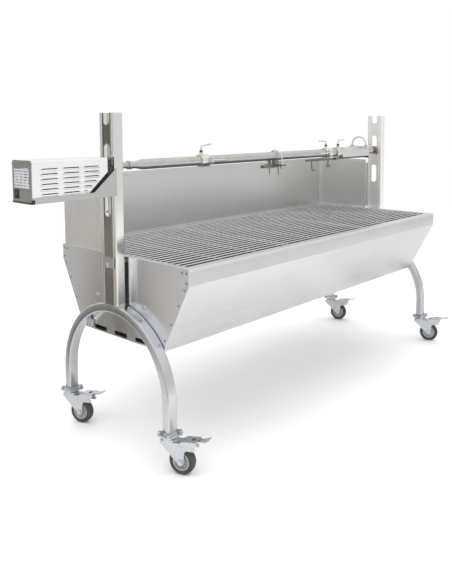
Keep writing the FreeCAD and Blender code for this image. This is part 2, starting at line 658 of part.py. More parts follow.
def spit_bearing():
    """Flanged bush that sits in the right post's slot and carries the journal."""
    bush = cylinder(V(RIGHT_WEB_X - 4, 0, SPIT_Z), X_AXIS, BEARING_R, 14)
    flanges = [cylinder(V(RIGHT_WEB_X - 8, 0, SPIT_Z), X_AXIS, 17, 6),
               cylinder(V(RIGHT_WEB_X + POST_WALL + 1, 0, SPIT_Z), X_AXIS, 17, 6)]
    bore = cylinder(V(RIGHT_WEB_X - 10, 0, SPIT_Z), X_AXIS, JOURNAL_R + RUN_FIT, 30)
    return fuse([bush] + flanges).cut(bore)


add("spit_rod", spit_rod())
add("spit_bearing", spit_bearing())
SLIDE_R = SPIT_R + 0.1


def collar(x0, x1, outer):
    return cylinder(V(x0, 0, SPIT_Z), X_AXIS, outer, x1 - x0)


def screw_boss(x):
    """Threaded boss on top of a collar, with the hole for its clamp screw."""
    boss = cylinder(V(x, 0, SPIT_Z + 14), Z_AXIS, 6.5, 13)
    hole = cylinder(V(x, 0, SPIT_Z), Z_AXIS, 3.0 + RUN_FIT, 40)
    return boss, hole


def clamp_screw(x, towards, rise):
    """Bent-handle screw: shank, lock nut, and a handle that points along +X or -X."""
    low = SPIT_Z + SPIT_R + 0.4
    top = SPIT_Z + 48.5
    handle = bent_rod([V(x, 0, low), V(x, 0, top), V(x + towards * 46, 0, top + rise)], 3.0, 7.0)
    nut = cylinder(V(x, 0, SPIT_Z + 27.4), Z_AXIS, 5.6, 7)
    return fuse([handle, nut])


def fork(collar_x0, plate_x, prong_to, screw_x):
    """Meat fork: collar, cross plate and two pointed prongs along the spit."""
    ends = sorted((plate_x - 2, plate_x + 2))
    barrel = collar(collar_x0, collar_x0 + 42, 20.5)
    plate = box(ends[0], ends[1], -30, 30, SPIT_Z - 13, SPIT_Z + 13)
    boss, hole = screw_boss(screw_x)
    pieces = [barrel, plate, boss]
    direction = 1 if prong_to > plate_x else -1
    for y in (-24, 24):
        length = abs(prong_to - plate_x)
        start = V(plate_x, y, SPIT_Z)
        pieces.append(cylinder(start, X_AXIS * direction, 3.0, length - 18))
        tip = start + X_AXIS * direction * (length - 18)
        pieces.append(Part.makeCone(3.0, 0.6, 18, tip, X_AXIS * direction))
    bore = cylinder(V(collar_x0 - 60, 0, SPIT_Z), X_AXIS, SLIDE_R, 160)
    return fuse(pieces).cut([bore, hole])


add("fork_left", fork(-396, -358, -274, -384))
add("fork_left_screw", clamp_screw(-384, 1, 6))
add("fork_right", fork(330, 336, 262, 347))
add("fork_right_screw", clamp_screw(347, -1, 1))


def spine_brace():
    """Back brace under the spit: a bar, a cross plate and two spine pins."""
    bar = box(-65, 22, -9, 9, SPIT_Z - 42.5, SPIT_Z - 31.5)
    cross = box(-2, 24, -42, 42, SPIT_Z - 36.5, SPIT_Z - 31.5)
    saddle = box(-2, 24, -7, 7, SPIT_Z - 32.5, SPIT_Z - 8)
    pins = []
    for x, y in ((-24, 0), (4, -20)):
        pins.append(cylinder(V(x, y, SPIT_Z - 60), Z_AXIS, 2.0, 24))
        pins.append(Part.makeCone(0.5, 2.0, 10, V(x, y, SPIT_Z - 70), Z_AXIS))
    bore = cylinder(V(-20, 0, SPIT_Z), X_AXIS, SLIDE_R, 60)
    holes = [cylinder(V(11, y, SPIT_Z - 50), Z_AXIS, 3.1, 20) for y in (-31, 31)]
    return fuse([bar, cross, saddle] + pins).cut([bore] + holes)


def u_bolt(x, radius, rod_r, low, centre_z, nut_spots):
    """U-bolt across the spit, with its nuts as separate solids."""
    arc_edges = [
        Part.LineSegment(V(x, -radius, low), V(x, -radius, centre_z)).toShape(),
        Part.Arc(V(x, -radius, centre_z), V(x, 0, centre_z + radius),
                 V(x, radius, centre_z)).toShape(),
        Part.LineSegment(V(x, radius, centre_z), V(x, radius, low)).toShape(),
    ]
    profile = Part.Wire(Part.Circle(V(x, -radius, low), Z_AXIS, rod_r).toShape())
    bolt = Part.Wire(arc_edges).makePipeShell([profile], True, True)
    nuts = []
    for side, z, flats, height in nut_spots:
        nut = hexagon(V(x, side * radius, z), Z_AXIS, flats, height)
        nuts.append(nut.cut(cylinder(V(x, side * radius, z - 1), Z_AXIS, rod_r, height + 2)))
    return Part.makeCompound([bolt] + nuts)


add("spine_brace_plate", spine_brace())
add("spine_ubolt", u_bolt(11, 31, 3.0, SPIT_Z - 48.5, SPIT_Z - 10.5,
                          [(-1, SPIT_Z - 31.5, 14, 14), (1, SPIT_Z - 31.5, 14, 14),
                           (-1, SPIT_Z - 43.5, 11, 7), (1, SPIT_Z - 43.5, 11, 7)]))

SLEEVE_X0, SLEEVE_X1 = 446.0, 658.0
LOW_BAR_X0, LOW_BAR_Z = 208.0, SPIT_Z - 26.5
LEG_UBOLT_X = 606.0


def leg_bracket():
    """Leg holder: collar, long inverted channel over the spit, low bar and hook."""
    barrel = collar(409, 454, 20.5)
    channel = box(SLEEVE_X0, SLEEVE_X1, -19.5, 19.5, SPIT_Z - 22, SPIT_Z + 19)
    room = box(SLEEVE_X0 + 10, SLEEVE_X1 + 1, -17, 17, SPIT_Z - 23, SPIT_Z + 16.5)
    channel = channel.cut(room)
    low_bar = cylinder(V(LOW_BAR_X0, 0, LOW_BAR_Z), X_AXIS, 4.0, SLEEVE_X1 - LOW_BAR_X0)
    ends = [box(SLEEVE_X1 - 4, SLEEVE_X1, -19.5, 19.5, LOW_BAR_Z - 5, SPIT_Z + 19),
            box(409, 415, -9, 9, LOW_BAR_Z - 5, SPIT_Z)]
    cross = box(LEG_UBOLT_X - 13, LEG_UBOLT_X + 13, -44, 44, SPIT_Z + 18, SPIT_Z + 22)
    boss, hole = screw_boss(437)
    stem = cylinder(V(364, 0, LOW_BAR_Z - 28), Z_AXIS, 3.0, 28)
    wing = box(352, 376, -2, 2, LOW_BAR_Z - 34, LOW_BAR_Z - 24)
    hook = bent_rod([V(244, 0, LOW_BAR_Z), V(250, 0, LOW_BAR_Z - 40), V(268, 0, LOW_BAR_Z - 42)],
                    2.5, 5.0)
    bore = cylinder(V(390, 0, SPIT_Z), X_AXIS, SLIDE_R, 330)
    holes = [cylinder(V(LEG_UBOLT_X, y, SPIT_Z), Z_AXIS, 3.6, 30) for y in (-34, 34)]
    bar = fuse([barrel, channel, low_bar, cross, boss, stem, wing, hook] + ends)
    return bar.cut([bore, hole] + holes)


add("leg_bracket", leg_bracket())
add("leg_bracket_screw", clamp_screw(437, 1, 4))
add("leg_ubolt", u_bolt(LEG_UBOLT_X, 34, 3.5, SPIT_Z + 6, SPIT_Z + 28,
                        [(-1, SPIT_Z + 10, 12, 8), (1, SPIT_Z + 10, 12, 8),
                         (-1, SPIT_Z + 22, 12, 6), (1, SPIT_Z + 22, 12, 6)]))


# ---- casters ------------------------------------------------------------------------
def caster_plate():
    """Mounting plate, upper race, kingpin and its four bolts, about the swivel axis."""
    plate = box(-30, 30, -25, 25, 101.3, FOOT_Z)
    upright = [e for e in plate.Edges if abs(e.Vertexes[0].Z - e.Vertexes[1].Z) > 0.5]
    plate = plate.makeFillet(8, upright)
    race = cylinder(V(0, 0, SWIVEL_Z + 0.3), Z_AXIS, 19, 6)
    kingpin = cylinder(V(0, 0, 86.5), Z_AXIS, 5.0, 16)
    head = cylinder(V(0, 0, 83.6), Z_AXIS, 8.5, 3)
    plate = fuse([plate, race, kingpin, head])
    solids = []
    for dx, dy in BOLT_CORNERS:
        plate = plate.cut(cylinder(V(dx, dy, 100), Z_AXIS, FOOT_BOLT_R + 0.3, 9))
        shank = cylinder(V(dx, dy, 101), Z_AXIS, FOOT_BOLT_R, 14)
        head = cylinder(V(dx, dy, 98.8), Z_AXIS, 5.2, 2.5)
        nut = hexagon(V(dx, dy, FOOT_Z + 3.7), Z_AXIS, 10, 5.4)
        solids.append(fuse([shank, head, nut]))
    return [plate] + solids


def caster_fork():
    """Swivel head and two side plates, trailing along +X, with a brake mount."""
    outer = FORK_SIDE + FORK_WALL
    crown = box(-24, 40, -outer, outer, 88, 91)
    race = cylinder(V(0, 0, 88), Z_AXIS, 22, SWIVEL_Z - 88)
    side = [(-24, 91), (-24, 84), (28, 34), (33, 29.5), (40, 28.5), (46, 32), (48, 44), (50, 64),
            (54, 72), (80, 74), (83, 82), (62, 91)]
    cheeks = [prism_y(side, s * outer - (FORK_WALL if s > 0 else 0),
                      s * outer + (0 if s > 0 else FORK_WALL)) for s in (-1, 1)]
    hole = cylinder(V(0, 0, 80), Z_AXIS, 5.0 + RUN_FIT, 30)
    pin_room = cylinder(V(0, 0, 80), Z_AXIS, 9.0, 8)
    axle_hole = cylinder(V(CASTER_TRAIL, -30, WHEEL_R), Y_AXIS, AXLE_R, 60)
    pivot = cylinder(V(PEDAL_X, -outer - 3.4, PEDAL_Z), Y_AXIS, 2.5, 2 * (outer + 3.4))
    gap = cylinder(V(PEDAL_X, -FORK_SIDE, PEDAL_Z), Y_AXIS, 4, 2 * FORK_SIDE)
    frame = fuse([crown, race] + cheeks).cut([hole, pin_room, axle_hole])
    return frame.fuse(pivot.cut(gap)).removeSplitter()


def brake_pedal():
    """Folded cover over the brake mount, with cheeks on the pivot and a foot tab."""
    inner = FORK_SIDE + FORK_WALL + 0.4
    outer = inner + 1.8
    side = [(PEDAL_X - 6, PEDAL_Z - 4), (PEDAL_X + 6, PEDAL_Z - 5), (88, 90), (88, 103.5),
            (PEDAL_X + 6, 98.8), (PEDAL_X - 6, PEDAL_Z + 8)]
    cheeks = [prism_y(side, *sorted((s * inner, s * outer))) for s in (-1, 1)]
    roof = prism_y([(PEDAL_X + 6, 97.0), (PEDAL_X + 6, 98.8), (88, 103.5), (88, 101.7)],
                   -outer, outer)
    window = box(66, 76, -7, 7, 90, 110)
    pedal = fuse(cheeks + [roof.cut(window), loft_tab()])
    pin = cylinder(V(PEDAL_X, -40, PEDAL_Z), Y_AXIS, 2.5 + RUN_FIT, 80)
    return pedal.cut(pin)


def loft_tab():
    """Foot tab that widens and rises outwards from the brake cover."""
    sections = []
    for x, half, z in ((86, 9, 101.4), (102, 12, 103.4), (120, 17, 109.0)):
        corners = [V(x, -half, z), V(x, half, z), V(x, half, z + 2), V(x, -half, z + 2)]
        sections.append(Part.makePolygon(corners + corners[:1]))
    return Part.makeLoft(sections, True, True)


def caster_hub():
    """Spoked-look disc: rim, thin web and boss, bored for the axle."""
    profile = [(0, 24.8), (12, 24.8), (12, 21.5), (5, 20), (5, 9.5), (13.4, 9), (13.4, AXLE_R + RUN_FIT)]
    points = [(y, r) for y, r in profile[1:]] + [(-y, r) for y, r in profile[:0:-1]]
    face = Part.Face(Part.makePolygon([V(CASTER_TRAIL, y, WHEEL_R + r)
                                       for y, r in points + points[:1]]))
    return face.revolve(V(CASTER_TRAIL, 0, WHEEL_R), Y_AXIS, 360)


def caster_tyre():
    """Tread with rounded shoulders, pressed on the hub."""
    half, inner, shoulder = WHEEL_HALF_WIDE, 24.8, 4.5
    points = [(-half, inner), (half, inner), (half, WHEEL_R - shoulder),
              (half - 1.4, WHEEL_R - 1.4), (half - shoulder, WHEEL_R),
              (-half + shoulder, WHEEL_R), (-half + 1.4, WHEEL_R - 1.4),
              (-half, WHEEL_R - shoulder)]
    face = Part.Face(Part.makePolygon([V(CASTER_TRAIL, y, WHEEL_R + r)
                                       for y, r in points + points[:1]]))
    return face.revolve(V(CASTER_TRAIL, 0, WHEEL_R), Y_AXIS, 360)


def caster_axle():
    """Axle bolt with its head and nut outside the fork."""
    outer = FORK_SIDE + FORK_WALL
    shank = cylinder(V(CASTER_TRAIL, -outer, WHEEL_R), Y_AXIS, AXLE_R, 2 * outer)
    head = hexagon(V(CASTER_TRAIL, -outer - 4.5, WHEEL_R), Y_AXIS, 13, 4.5)
    nut = hexagon(V(CASTER_TRAIL, outer, WHEEL_R), Y_AXIS, 13, 6)
    return fuse([shank, head, nut])


plates = []
for side_x, x_name in ((-1, "left"), (1, "right")):
    for side_y, y_name in ((-1, "front"), (1, "back")):
        swivel = V(side_x * LEG_X, side_y * LEG_RADIUS, 0)
        for solid in caster_plate():
            solid.translate(swivel)
            plates.append(solid)
        for name, make in (("fork", caster_fork), ("hub", caster_hub), ("tyre", caster_tyre),
                           ("axle", caster_axle), ("brake_pedal", brake_pedal)):
            shape = make()
            shape.rotate(V(0, 0, 0), Z_AXIS, CASTER_ANGLE)
            shape.translate(swivel)
            add(f"caster_{name}_{y_name}_{x_name}", shape)
add("caster_plates", Part.makeCompound(plates))

# ---- origin and export --------------------------------------------------------------
whole = Part.makeCompound(list(parts.values())).BoundBox
shift = V(-(whole.XMin + whole.XMax) / 2, -(whole.YMin + whole.YMax) / 2, -whole.ZMin)
for node, shape in parts.items():
    moved = shape.copy()
    moved.translate(shift)
    moved.exportStep(f"parts/{node}.step")
    if not moved.isValid():
        print("not valid:", node)
print("nodes", len(parts), "shift", shift, "size", whole.XLength, whole.YLength, whole.ZLength)
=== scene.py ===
from math import atan2, cos, pi, radians, sin, sqrt, tan

import bmesh
import bpy
from mathutils import Matrix, Vector


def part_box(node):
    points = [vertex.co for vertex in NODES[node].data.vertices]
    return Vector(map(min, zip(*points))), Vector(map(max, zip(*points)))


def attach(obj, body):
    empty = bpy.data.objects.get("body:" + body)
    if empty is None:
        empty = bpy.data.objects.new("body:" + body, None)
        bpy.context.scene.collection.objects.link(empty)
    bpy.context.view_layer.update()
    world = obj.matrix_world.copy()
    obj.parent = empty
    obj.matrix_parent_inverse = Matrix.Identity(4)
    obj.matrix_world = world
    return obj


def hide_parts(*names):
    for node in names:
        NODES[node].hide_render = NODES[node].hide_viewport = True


# Rotisserie spit roaster: the looks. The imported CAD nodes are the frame. Pieces made here stand
# for the CAD nodes whose real shape has rounded folds, threads, treads or turned profiles.
# Places are millimetres about the firebox centre on the floor, the same as in the CAD source;
# place() turns them into the row frame.

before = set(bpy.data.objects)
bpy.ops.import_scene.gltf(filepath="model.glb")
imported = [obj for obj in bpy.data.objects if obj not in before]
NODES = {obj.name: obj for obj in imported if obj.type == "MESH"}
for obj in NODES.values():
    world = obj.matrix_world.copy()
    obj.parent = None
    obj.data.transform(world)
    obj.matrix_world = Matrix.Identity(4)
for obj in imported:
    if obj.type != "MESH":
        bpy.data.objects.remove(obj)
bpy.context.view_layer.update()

floor_low, floor_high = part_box("firebox_floor")
CENTRE = Vector(((floor_low.x + floor_high.x) / 2, (floor_low.y + floor_high.y) / 2, 0.0))
MM = 0.001

# ---- sizes read from the frame, in millimetres --------------------------------------


def low(node):
    return (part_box(node)[0] - CENTRE) / MM


def high(node):
    return (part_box(node)[1] - CENTRE) / MM


HALF_LENGTH = high("end_panel_right").x
RIM_Z = high("end_panel_right").z
RIM_HALF_DEPTH = high("firebox_back_panel").y
FLOOR_Z = low("firebox_front_panel").z
BAND_Z = RIM_Z - 47.0
FLOOR_HALF_DEPTH = high("firebox_floor").y + 3.0
SHEET = 1.5
RIM_FLANGE, LEDGE_DROP, LEDGE_WIDTH = 22.0, 13.0, 11.0
SPIT_Z = (low("spit_rod").z + high("spit_rod").z) / 2
SPIT_R = (high("spit_rod").z - low("spit_rod").z) / 2
CHANNEL_BOTTOM_Z = SPIT_Z - 22.3    # of the leg bracket; its thin parts hang below
LEG_X = (low("arch_leg_right").x + high("arch_leg_right").x) / 2
LEG_RADIUS, LEG_SPRING_Z = 234.0, 180.5
LEG_WIDE, LEG_THICK = 34.0, 27.0
FOOT_Z, FOOT_THICK = low("arch_leg_right").z, 3.7
RIGHT_WEB_X = low("post_right").x + 1.2
LEFT_WEB_X = low("post_left").x + 1.2
POST_WALL = 2.5
CLAMP_Z, DRIVE_BOLT_Z, WING_BOLT_Z = 547.0, 793, 697
FORK_LEFT_SCREW_X, FORK_RIGHT_SCREW_X, BRACKET_SCREW_X = -384, 347, 437
WHEEL_R = 37.5
CASTER_TRAIL = 38.0
SWIVEL_Z, PEDAL_X, PEDAL_Z = 96.0, 40.0, 83.0
CROWN_Z, MOUNT_Z = 88, 101.3
CASTER_ANGLE = radians(-70.0)
MOTOR_FACE_X = low("motor_end_plate").x + 6.0


def place(point):
    return CENTRE + Vector(point) * MM


# ---- mesh helpers -------------------------------------------------------------------
def scene_object(name, data):
    made = bpy.data.objects.new(name, data)
    bpy.context.scene.collection.objects.link(made)
    return made


def make(name, points, faces, angle=32.0):
    """A mesh object in the row frame, smooth except where it turns by more than angle."""
    mesh = bpy.data.meshes.new(name)
    mesh.from_pydata([place(p) for p in points], [], faces)
    mesh.validate()
    work = bmesh.new()
    work.from_mesh(mesh)
    bmesh.ops.recalc_face_normals(work, faces=work.faces)
    work.to_mesh(mesh)
    work.free()
    for polygon in mesh.polygons:
        polygon.use_smooth = True
    mesh.set_sharp_from_angle(angle=radians(angle))
    return scene_object(name, mesh)


class Shape:
    """Points and faces that are gathered before they become one mesh."""

    def __init__(self):
        self.points, self.faces = [], []

    def join(self, points, faces, matrix=None):
        base = len(self.points)
        self.points += [matrix @ Vector(p) if matrix else Vector(p) for p in points]
        self.faces += [[base + i for i in face] for face in faces]
        return self

    def add(self, other, matrix=None):
        return self.join(other.points, other.faces, matrix)

    def piece(self, name, angle=32.0):
        return make(name, self.points, self.faces, angle)


def bend(before, corner, after, radius):
    """The arc of up to radius that rounds a corner: its centre, radius, start and end."""
    back, ahead = before - corner, after - corner
    half = back.angle(ahead) / 2
    reach = min(radius / tan(half), back.length * 0.48, ahead.length * 0.48)
    radius = reach * tan(half)
    back.normalize()
    ahead.normalize()
    centre = corner + (back + ahead).normalized() * (radius / sin(half))
    return centre, radius, corner + back * reach, corner + ahead * reach


def rounded(path, radius, steps=5, closed=False):
    """The 2-D path with an arc of up to radius at each corner."""
    path = [Vector(p) for p in path]
    result = []
    for i, here in enumerate(path):
        if not closed and i in (0, len(path) - 1):
            result.append(here)
            continue
        wanted = radius[i] if isinstance(radius, (list, tuple)) else radius
        centre, r, start, end = bend(path[i - 1], here, path[(i + 1) % len(path)], wanted)
        if r < 1e-3:
            result.append(here)
            continue
        a0 = atan2(start.y - centre.y, start.x - centre.x)
        a1 = atan2(end.y - centre.y, end.x - centre.x)
        turn = (a1 - a0 + pi) % (2 * pi) - pi
        for k in range(steps + 1):
            a = a0 + turn * k / steps
            result.append(centre + Vector((cos(a), sin(a))) * r)
    return result


def thicken(path, thickness):
    """A closed outline: the open 2-D path, and the same path moved to its left."""
    inner = []
    for i, point in enumerate(path):
        before = (path[i] - path[i - 1]).normalized() if i else None
        after = (path[i + 1] - path[i]).normalized() if i < len(path) - 1 else None
        first, second = before or after, after or before
        n1, n2 = Vector((-first.y, first.x)), Vector((-second.y, second.x))
        inner.append(point + (n1 + n2) * (thickness / (1 + n1.dot(n2))))
    return list(path) + inner[::-1]


def shift(x, y, z):
    return Matrix.Translation((x, y, z))


def bands(rings, count):
    """The quads between each ring of count points and the next, for rings listed in order."""
    faces = []
    for row in range(rings - 1):
        low_ring, high_ring = row * count, (row + 1) * count
        for k in range(count):
            m = (k + 1) % count
            faces.append((low_ring + k, low_ring + m, high_ring + m, high_ring + k))
    return faces


def capped(rings, count):
    """The quads of a stack of rings, and a cap on each end."""
    last = (rings - 1) * count
    return bands(rings, count) + [list(range(count))[::-1], [last + k for k in range(count)]]


def extrude_x(outline, x0, x1):
    """A solid whose section is a closed (y, z) outline."""
    points = [(x, p[0], p[1]) for x in (x0, x1) for p in outline]
    return Shape().join(points, capped(2, len(outline)))


def circle(count, phase=0.0):
    """The cosine and sine of count even turns."""
    turns = [phase + 2 * pi * k / count for k in range(count)]
    return [(cos(a), sin(a)) for a in turns]


def lathe(profile, segments=64):
    """A solid turned about local Z from (radius, z) points; ends at radius 0 are closed."""
    points, faces, rings = [], [], []
    for r, z in profile:
        spots = circle(segments) if r > 1e-6 else [(0, 0)]
        rings.append([len(points) + k for k in range(len(spots))])
        points += [(r * c, r * d, z) for c, d in spots]
    pairs = list(zip(rings, rings[1:]))
    if len(rings[0]) > 1 and len(rings[-1]) > 1:
        pairs.append((rings[-1], rings[0]))
    for a, b in pairs:
        for k in range(segments if len(a) + len(b) > 2 else 0):
            m = (k + 1) % segments
            if len(a) == 1:
                faces.append((b[m], b[k], a[0]))
            elif len(b) == 1:
                faces.append((a[m], b[0], a[k]))
            else:
                faces.append((a[m], b[m], b[k], a[k]))
    return Shape().join(points, faces)


def rod(radius, z0, z1, segments):
    """A plain round bar along local Z."""
    return lathe([(0, z0), (radius, z0), (radius, z1), (0, z1)], segments)


def collar(inner, outer, z0, z1, radius, steps, segments):
    """A ring about local Z with its edges rounded to radius."""
    section = [(inner, z0), (outer, z0), (outer, z1), (inner, z1)]
    return lathe(rounded_profile(section, radius, steps, closed=True), segments)


def rounded_profile(points, radius, steps=4, closed=False):
    return [tuple(p) for p in rounded(points, radius, steps, closed)]


def towards(origin, direction):
    """Puts a shape turned about local Z onto a line from origin along direction."""
    turn = Vector(direction).to_track_quat("Z", "Y").to_matrix().to_4x4()
    return Matrix.Translation(Vector(origin)) @ turn


def smooth_path(points, radius, steps=8):
    """A 3-D polyline with an arc of that radius at each corner."""
    points = [Vector(p) for p in points]
    result = [points[0]]
    for corner in zip(points, points[1:], points[2:]):
        centre, r, start, end = bend(*corner, radius)
        u, v = (start - centre).normalized(), (end - centre).normalized()
        side = (v - u * u.dot(v)).normalized()
        for k in range(steps + 1):
            a = u.angle(v) * k / steps
            result.append(centre + (u * cos(a) + side * sin(a)) * r)
    return result + [points[-1]]


def sweep(path, radius, segments=20, cap=0.6):
    """A round bar along a 3-D path, with ends rounded off by cap."""
    side = (path[1] - path[0]).normalized().orthogonal().normalized()
    rows = []
    for i, point in enumerate(path):
        ahead = path[min(i + 1, len(path) - 1)] - path[max(i - 1, 0)]
        ahead.normalize()
        side = (side - ahead * side.dot(ahead)).normalized()
        rows.append((point, ahead, side, ahead.cross(side), radius))
    for spot, at, way in ((0, 0, -cap), (len(rows) + 1, -1, cap)):
        point, ahead, side, other, _ = rows[at]
        rows.insert(spot, (point + ahead * way, ahead, side, other, radius - cap))
    points = [point + (u * c + v * d) * r
              for point, _, u, v, r in rows for c, d in circle(segments)]
    return Shape().join(points, capped(len(rows), segments))


def thread(radius, length, pitch=1.25, depth=0.45, segments=24):
    """A threaded length of bar along local Z, from 0 to length, as a solid."""
    per_turn = 4
    rows = max(1, round(length / pitch)) * per_turn
    points = []
    for row in range(rows + 1):
        for k, (c, d) in enumerate(circle(segments)):
            phase = (row / per_turn + k / segments) % 1.0
            r = radius - (depth if row in (0, rows) else depth * abs(phase - 0.5) * 2)
            points.append((r * c, r * d, length * row / rows))
    return Shape().join(points, capped(rows + 1, segments))


def hex_body(across_flats, height, chamfer=0.9, bore=0.0, phase=0.0):
    """A hexagonal head or nut along local Z, with chamfered ends and an optional bore."""
    corner = across_flats / sqrt(3)
    rings = [(corner * 0.90, 0.0), (corner, chamfer * 0.55), (corner, height - chamfer * 0.55),
             (corner * 0.90, height)]
    points = [(r * c, r * d, z) for r, z in rings for c, d in circle(6, phase)]
    if bore <= 0:
        return Shape().join(points, capped(4, 6))
    faces, segments = bands(4, 6), 24
    points += [(bore * c, bore * d, z) for z in (0.0, height) for c, d in circle(segments, phase)]
    lower, upper = 24, 24 + segments
    for k in range(6):
        m = (k + 1) % 6
        arc = [(4 * k + s) % segments for s in range(5)]
        faces.append([m, k] + [lower + a for a in arc])
        faces.append([18 + k, 18 + m] + [upper + a for a in arc[::-1]])
    for k in range(segments):
        m = (k + 1) % segments
        faces.append((lower + m, lower + k, upper + k, upper + m))
    return Shape().join(points, faces)


def washer(outer, inner, thick):
    return collar(inner, outer, 0, thick, 0.35, 2, 40)


# ---- materials ----------------------------------------------------------------------
UP = (0.0, 0.0, 1.0)


def new_node(tree, kind, output, inputs, **settings):
    """The output of a new node; its inputs are constants, or the outputs that feed them."""
    node = tree.nodes.new("ShaderNode" + kind)
    for name, value in settings.items():
        setattr(node, name, value)
    for name, value in inputs.items():
        if isinstance(value, bpy.types.NodeSocket):
            tree.links.new(value, node.inputs[name])
        else:
            node.inputs[name].default_value = value
    return node.outputs[output]


class Graph:
    """A small builder for one procedural material."""

    def __init__(self, name, metallic=0.0):
        self.material = bpy.data.materials.new(name)
        self.material.use_nodes = True
        self.tree = self.material.node_tree
        self.shader = self.tree.nodes["Principled BSDF"]
        self.shader.inputs["Metallic"].default_value = metallic
        self.coords = self.add("TexCoord", "Object", {})

    def add(self, kind, output, inputs, **settings):
        return new_node(self.tree, kind, output, inputs, **settings)

    def noise(self, scale, detail=3.0, roughness=0.55, stretch=(1, 1, 1)):
        at = self.add("Mapping", "Vector", {"Vector": self.coords, "Scale": stretch})
        return self.add("TexNoise", "Fac", {"Vector": at, "Scale": scale, "Detail": detail,
                                            "Roughness": roughness})

    def spread(self, value, to_low, to_high, from_low=0.3, from_high=0.7):
        return self.add("MapRange", "Result", {
            "Value": value, "From Min": from_low, "From Max": from_high,
            "To Min": to_low, "To Max": to_high})

    def combine(self, first, second, operation="MULTIPLY"):
        return self.add("Math", "Value", {0: first, 1: second}, operation=operation)

    def ramp(self, value, stops):
        node = self.tree.nodes.new("ShaderNodeValToRGB")
        elements = node.color_ramp.elements
        while len(elements) < len(stops):
            elements.new(0.5)
        for element, (position, colour) in zip(elements, stops):
            element.position = position
            element.color = (*colour, 1.0)
        self.tree.links.new(value, node.inputs["Fac"])
        return node.outputs["Color"]

    def bump(self, height, distance, strength=1.0, edge=0.0):
        inputs = {"Height": height, "Strength": strength, "Distance": distance}
        if edge:
            inputs["Normal"] = self.add("Bevel", "Normal", {"Radius": edge}, samples=4)
        self.link("Normal", self.add("Bump", "Normal", inputs))

    def link(self, socket, output):
        self.tree.links.new(output, self.shader.inputs[socket])

    def colour(self, value, *stops):
        self.link("Base Color", self.ramp(value, stops))

    def roughness(self, value, *limits):
        self.link("Roughness", self.spread(value, *limits))


def share(tree, vector, axis, start, end):
    """0 to 1 as the vector's reach along axis goes from start to end."""
    reach = new_node(tree, "VectorMath", "Value", {0: vector, 1: axis}, operation="DOT_PRODUCT")
    limits = {"Value": reach, "From Min": start, "From Max": end}
    return new_node(tree, "MapRange", "Result", limits, interpolation_type="SMOOTHSTEP")


def blend(tree, factor, *tones):
    """The first tone where factor is 0, the second where it is 1."""
    first, second = [(*tone, 1.0) if isinstance(tone, tuple) else tone for tone in tones]
    inputs = {"Factor": factor, "A": first, "B": second}
    return new_node(tree, "Mix", "Result", inputs, data_type="RGBA")


def strip(tree, vector, base, tone, axis, start, end, soft):
    """The tone where the vector's reach along axis lies between start and end, else the base."""
    tone = blend(tree, share(tree, vector, axis, start - soft, start), base, tone)
    return blend(tree, share(tree, vector, axis, end, end + soft), tone, base)


def tone_parts(material):
    """A material's node tree, its base colour output, and a way to scale that colour."""
    tree = material.node_tree
    unshaded_colour = tree.nodes["Principled BSDF"].inputs["Base Color"].links[0].from_socket

    def dimmed(factor):
        inputs = {0: unshaded_colour, "Scale": factor}
        return new_node(tree, "VectorMath", "Vector", inputs, operation="SCALE")

    return tree, unshaded_colour, dimmed


def painted_wall_shade(material, band, inside, top):
    """Painted shade: dims the upright faces by band, and those that look up from below the rim by
    inside.
    """
    tree, unshaded_colour, dimmed = tone_parts(material)
    own = tree.nodes.new("ShaderNodeTexCoord").outputs
    tone = blend(tree, share(tree, own["Normal"], UP, -0.25, -0.12), unshaded_colour, dimmed(band))
    tone = blend(tree, share(tree, own["Normal"], UP, 0.1, 0.3), tone, dimmed(inside))
    # the flat top of the rim keeps the unshaded colour
    tone = blend(tree, share(tree, own["Object"], UP, top - 0.012, top), tone, unshaded_colour)
    tree.links.new(tone, tree.nodes["Principled BSDF"].inputs["Base Color"])


def painted_shade_below(material, factor, height):
    """Dims everything on the piece that is lower than height: painted shade."""
    tree, unshaded_colour, dimmed = tone_parts(material)
    at = new_node(tree, "TexCoord", "Object", {})
    tone = blend(tree, share(tree, at, UP, height - 0.0005, height), dimmed(factor), unshaded_colour)
    tree.links.new(tone, tree.nodes["Principled BSDF"].inputs["Base Color"])


def scaled(colour, factor):
    return tuple(min(1.0, c * factor) for c in colour)


def steel(name, colour, roughness, grain=(1, 1, 1), streak=0.10, wear=0.06, edge=0.0007,
          bump=0.00002):
    """Brushed or satin metal: long streaks along the grain, soft blotches and fine scratches.
    grain holds small numbers along the brushing and large ones across it."""
    graph = Graph(name, metallic=1.0)
    fine = graph.noise(14.0, 4.0, 0.7, grain)
    broad = graph.noise(3.2, 3.0, 0.6, grain)
    blots = graph.noise(7.0, 3.0, 0.5)
    tone = graph.combine(graph.spread(fine, 0.0, 1.0), graph.spread(broad, 0.0, 1.0), "ADD")
    tone = graph.combine(tone, graph.spread(blots, 0.0, 1.0), "ADD")
    tone = graph.combine(tone, 1 / 3)
    graph.colour(tone, (0.1, scaled(colour, 1 - streak)), (0.5, colour),
                 (0.9, scaled(colour, 1 + streak * 0.7)))
    graph.roughness(tone, roughness - wear, roughness + wear, 0.1, 0.9)
    graph.bump(fine, bump, 1.0, edge)
    return graph.material


def bright_rod(name, colour, roughness):
    """Drawn bar: turning marks across it and a few dull patches."""
    graph = Graph(name, metallic=1.0)
    rings = graph.noise(9.0, 3.0, 0.65, (120, 8, 8))
    patches = graph.noise(22.0, 4.0, 0.6)
    tone = graph.combine(graph.combine(rings, patches, "ADD"), 0.5)
    graph.colour(tone, (0.32, scaled(colour, 0.82)), (0.5, colour), (0.68, scaled(colour, 1.1)))
    graph.roughness(patches, roughness - 0.05, roughness + 0.09)
    graph.bump(rings, 0.000015, 1.0, 0.0004)
    return graph.material


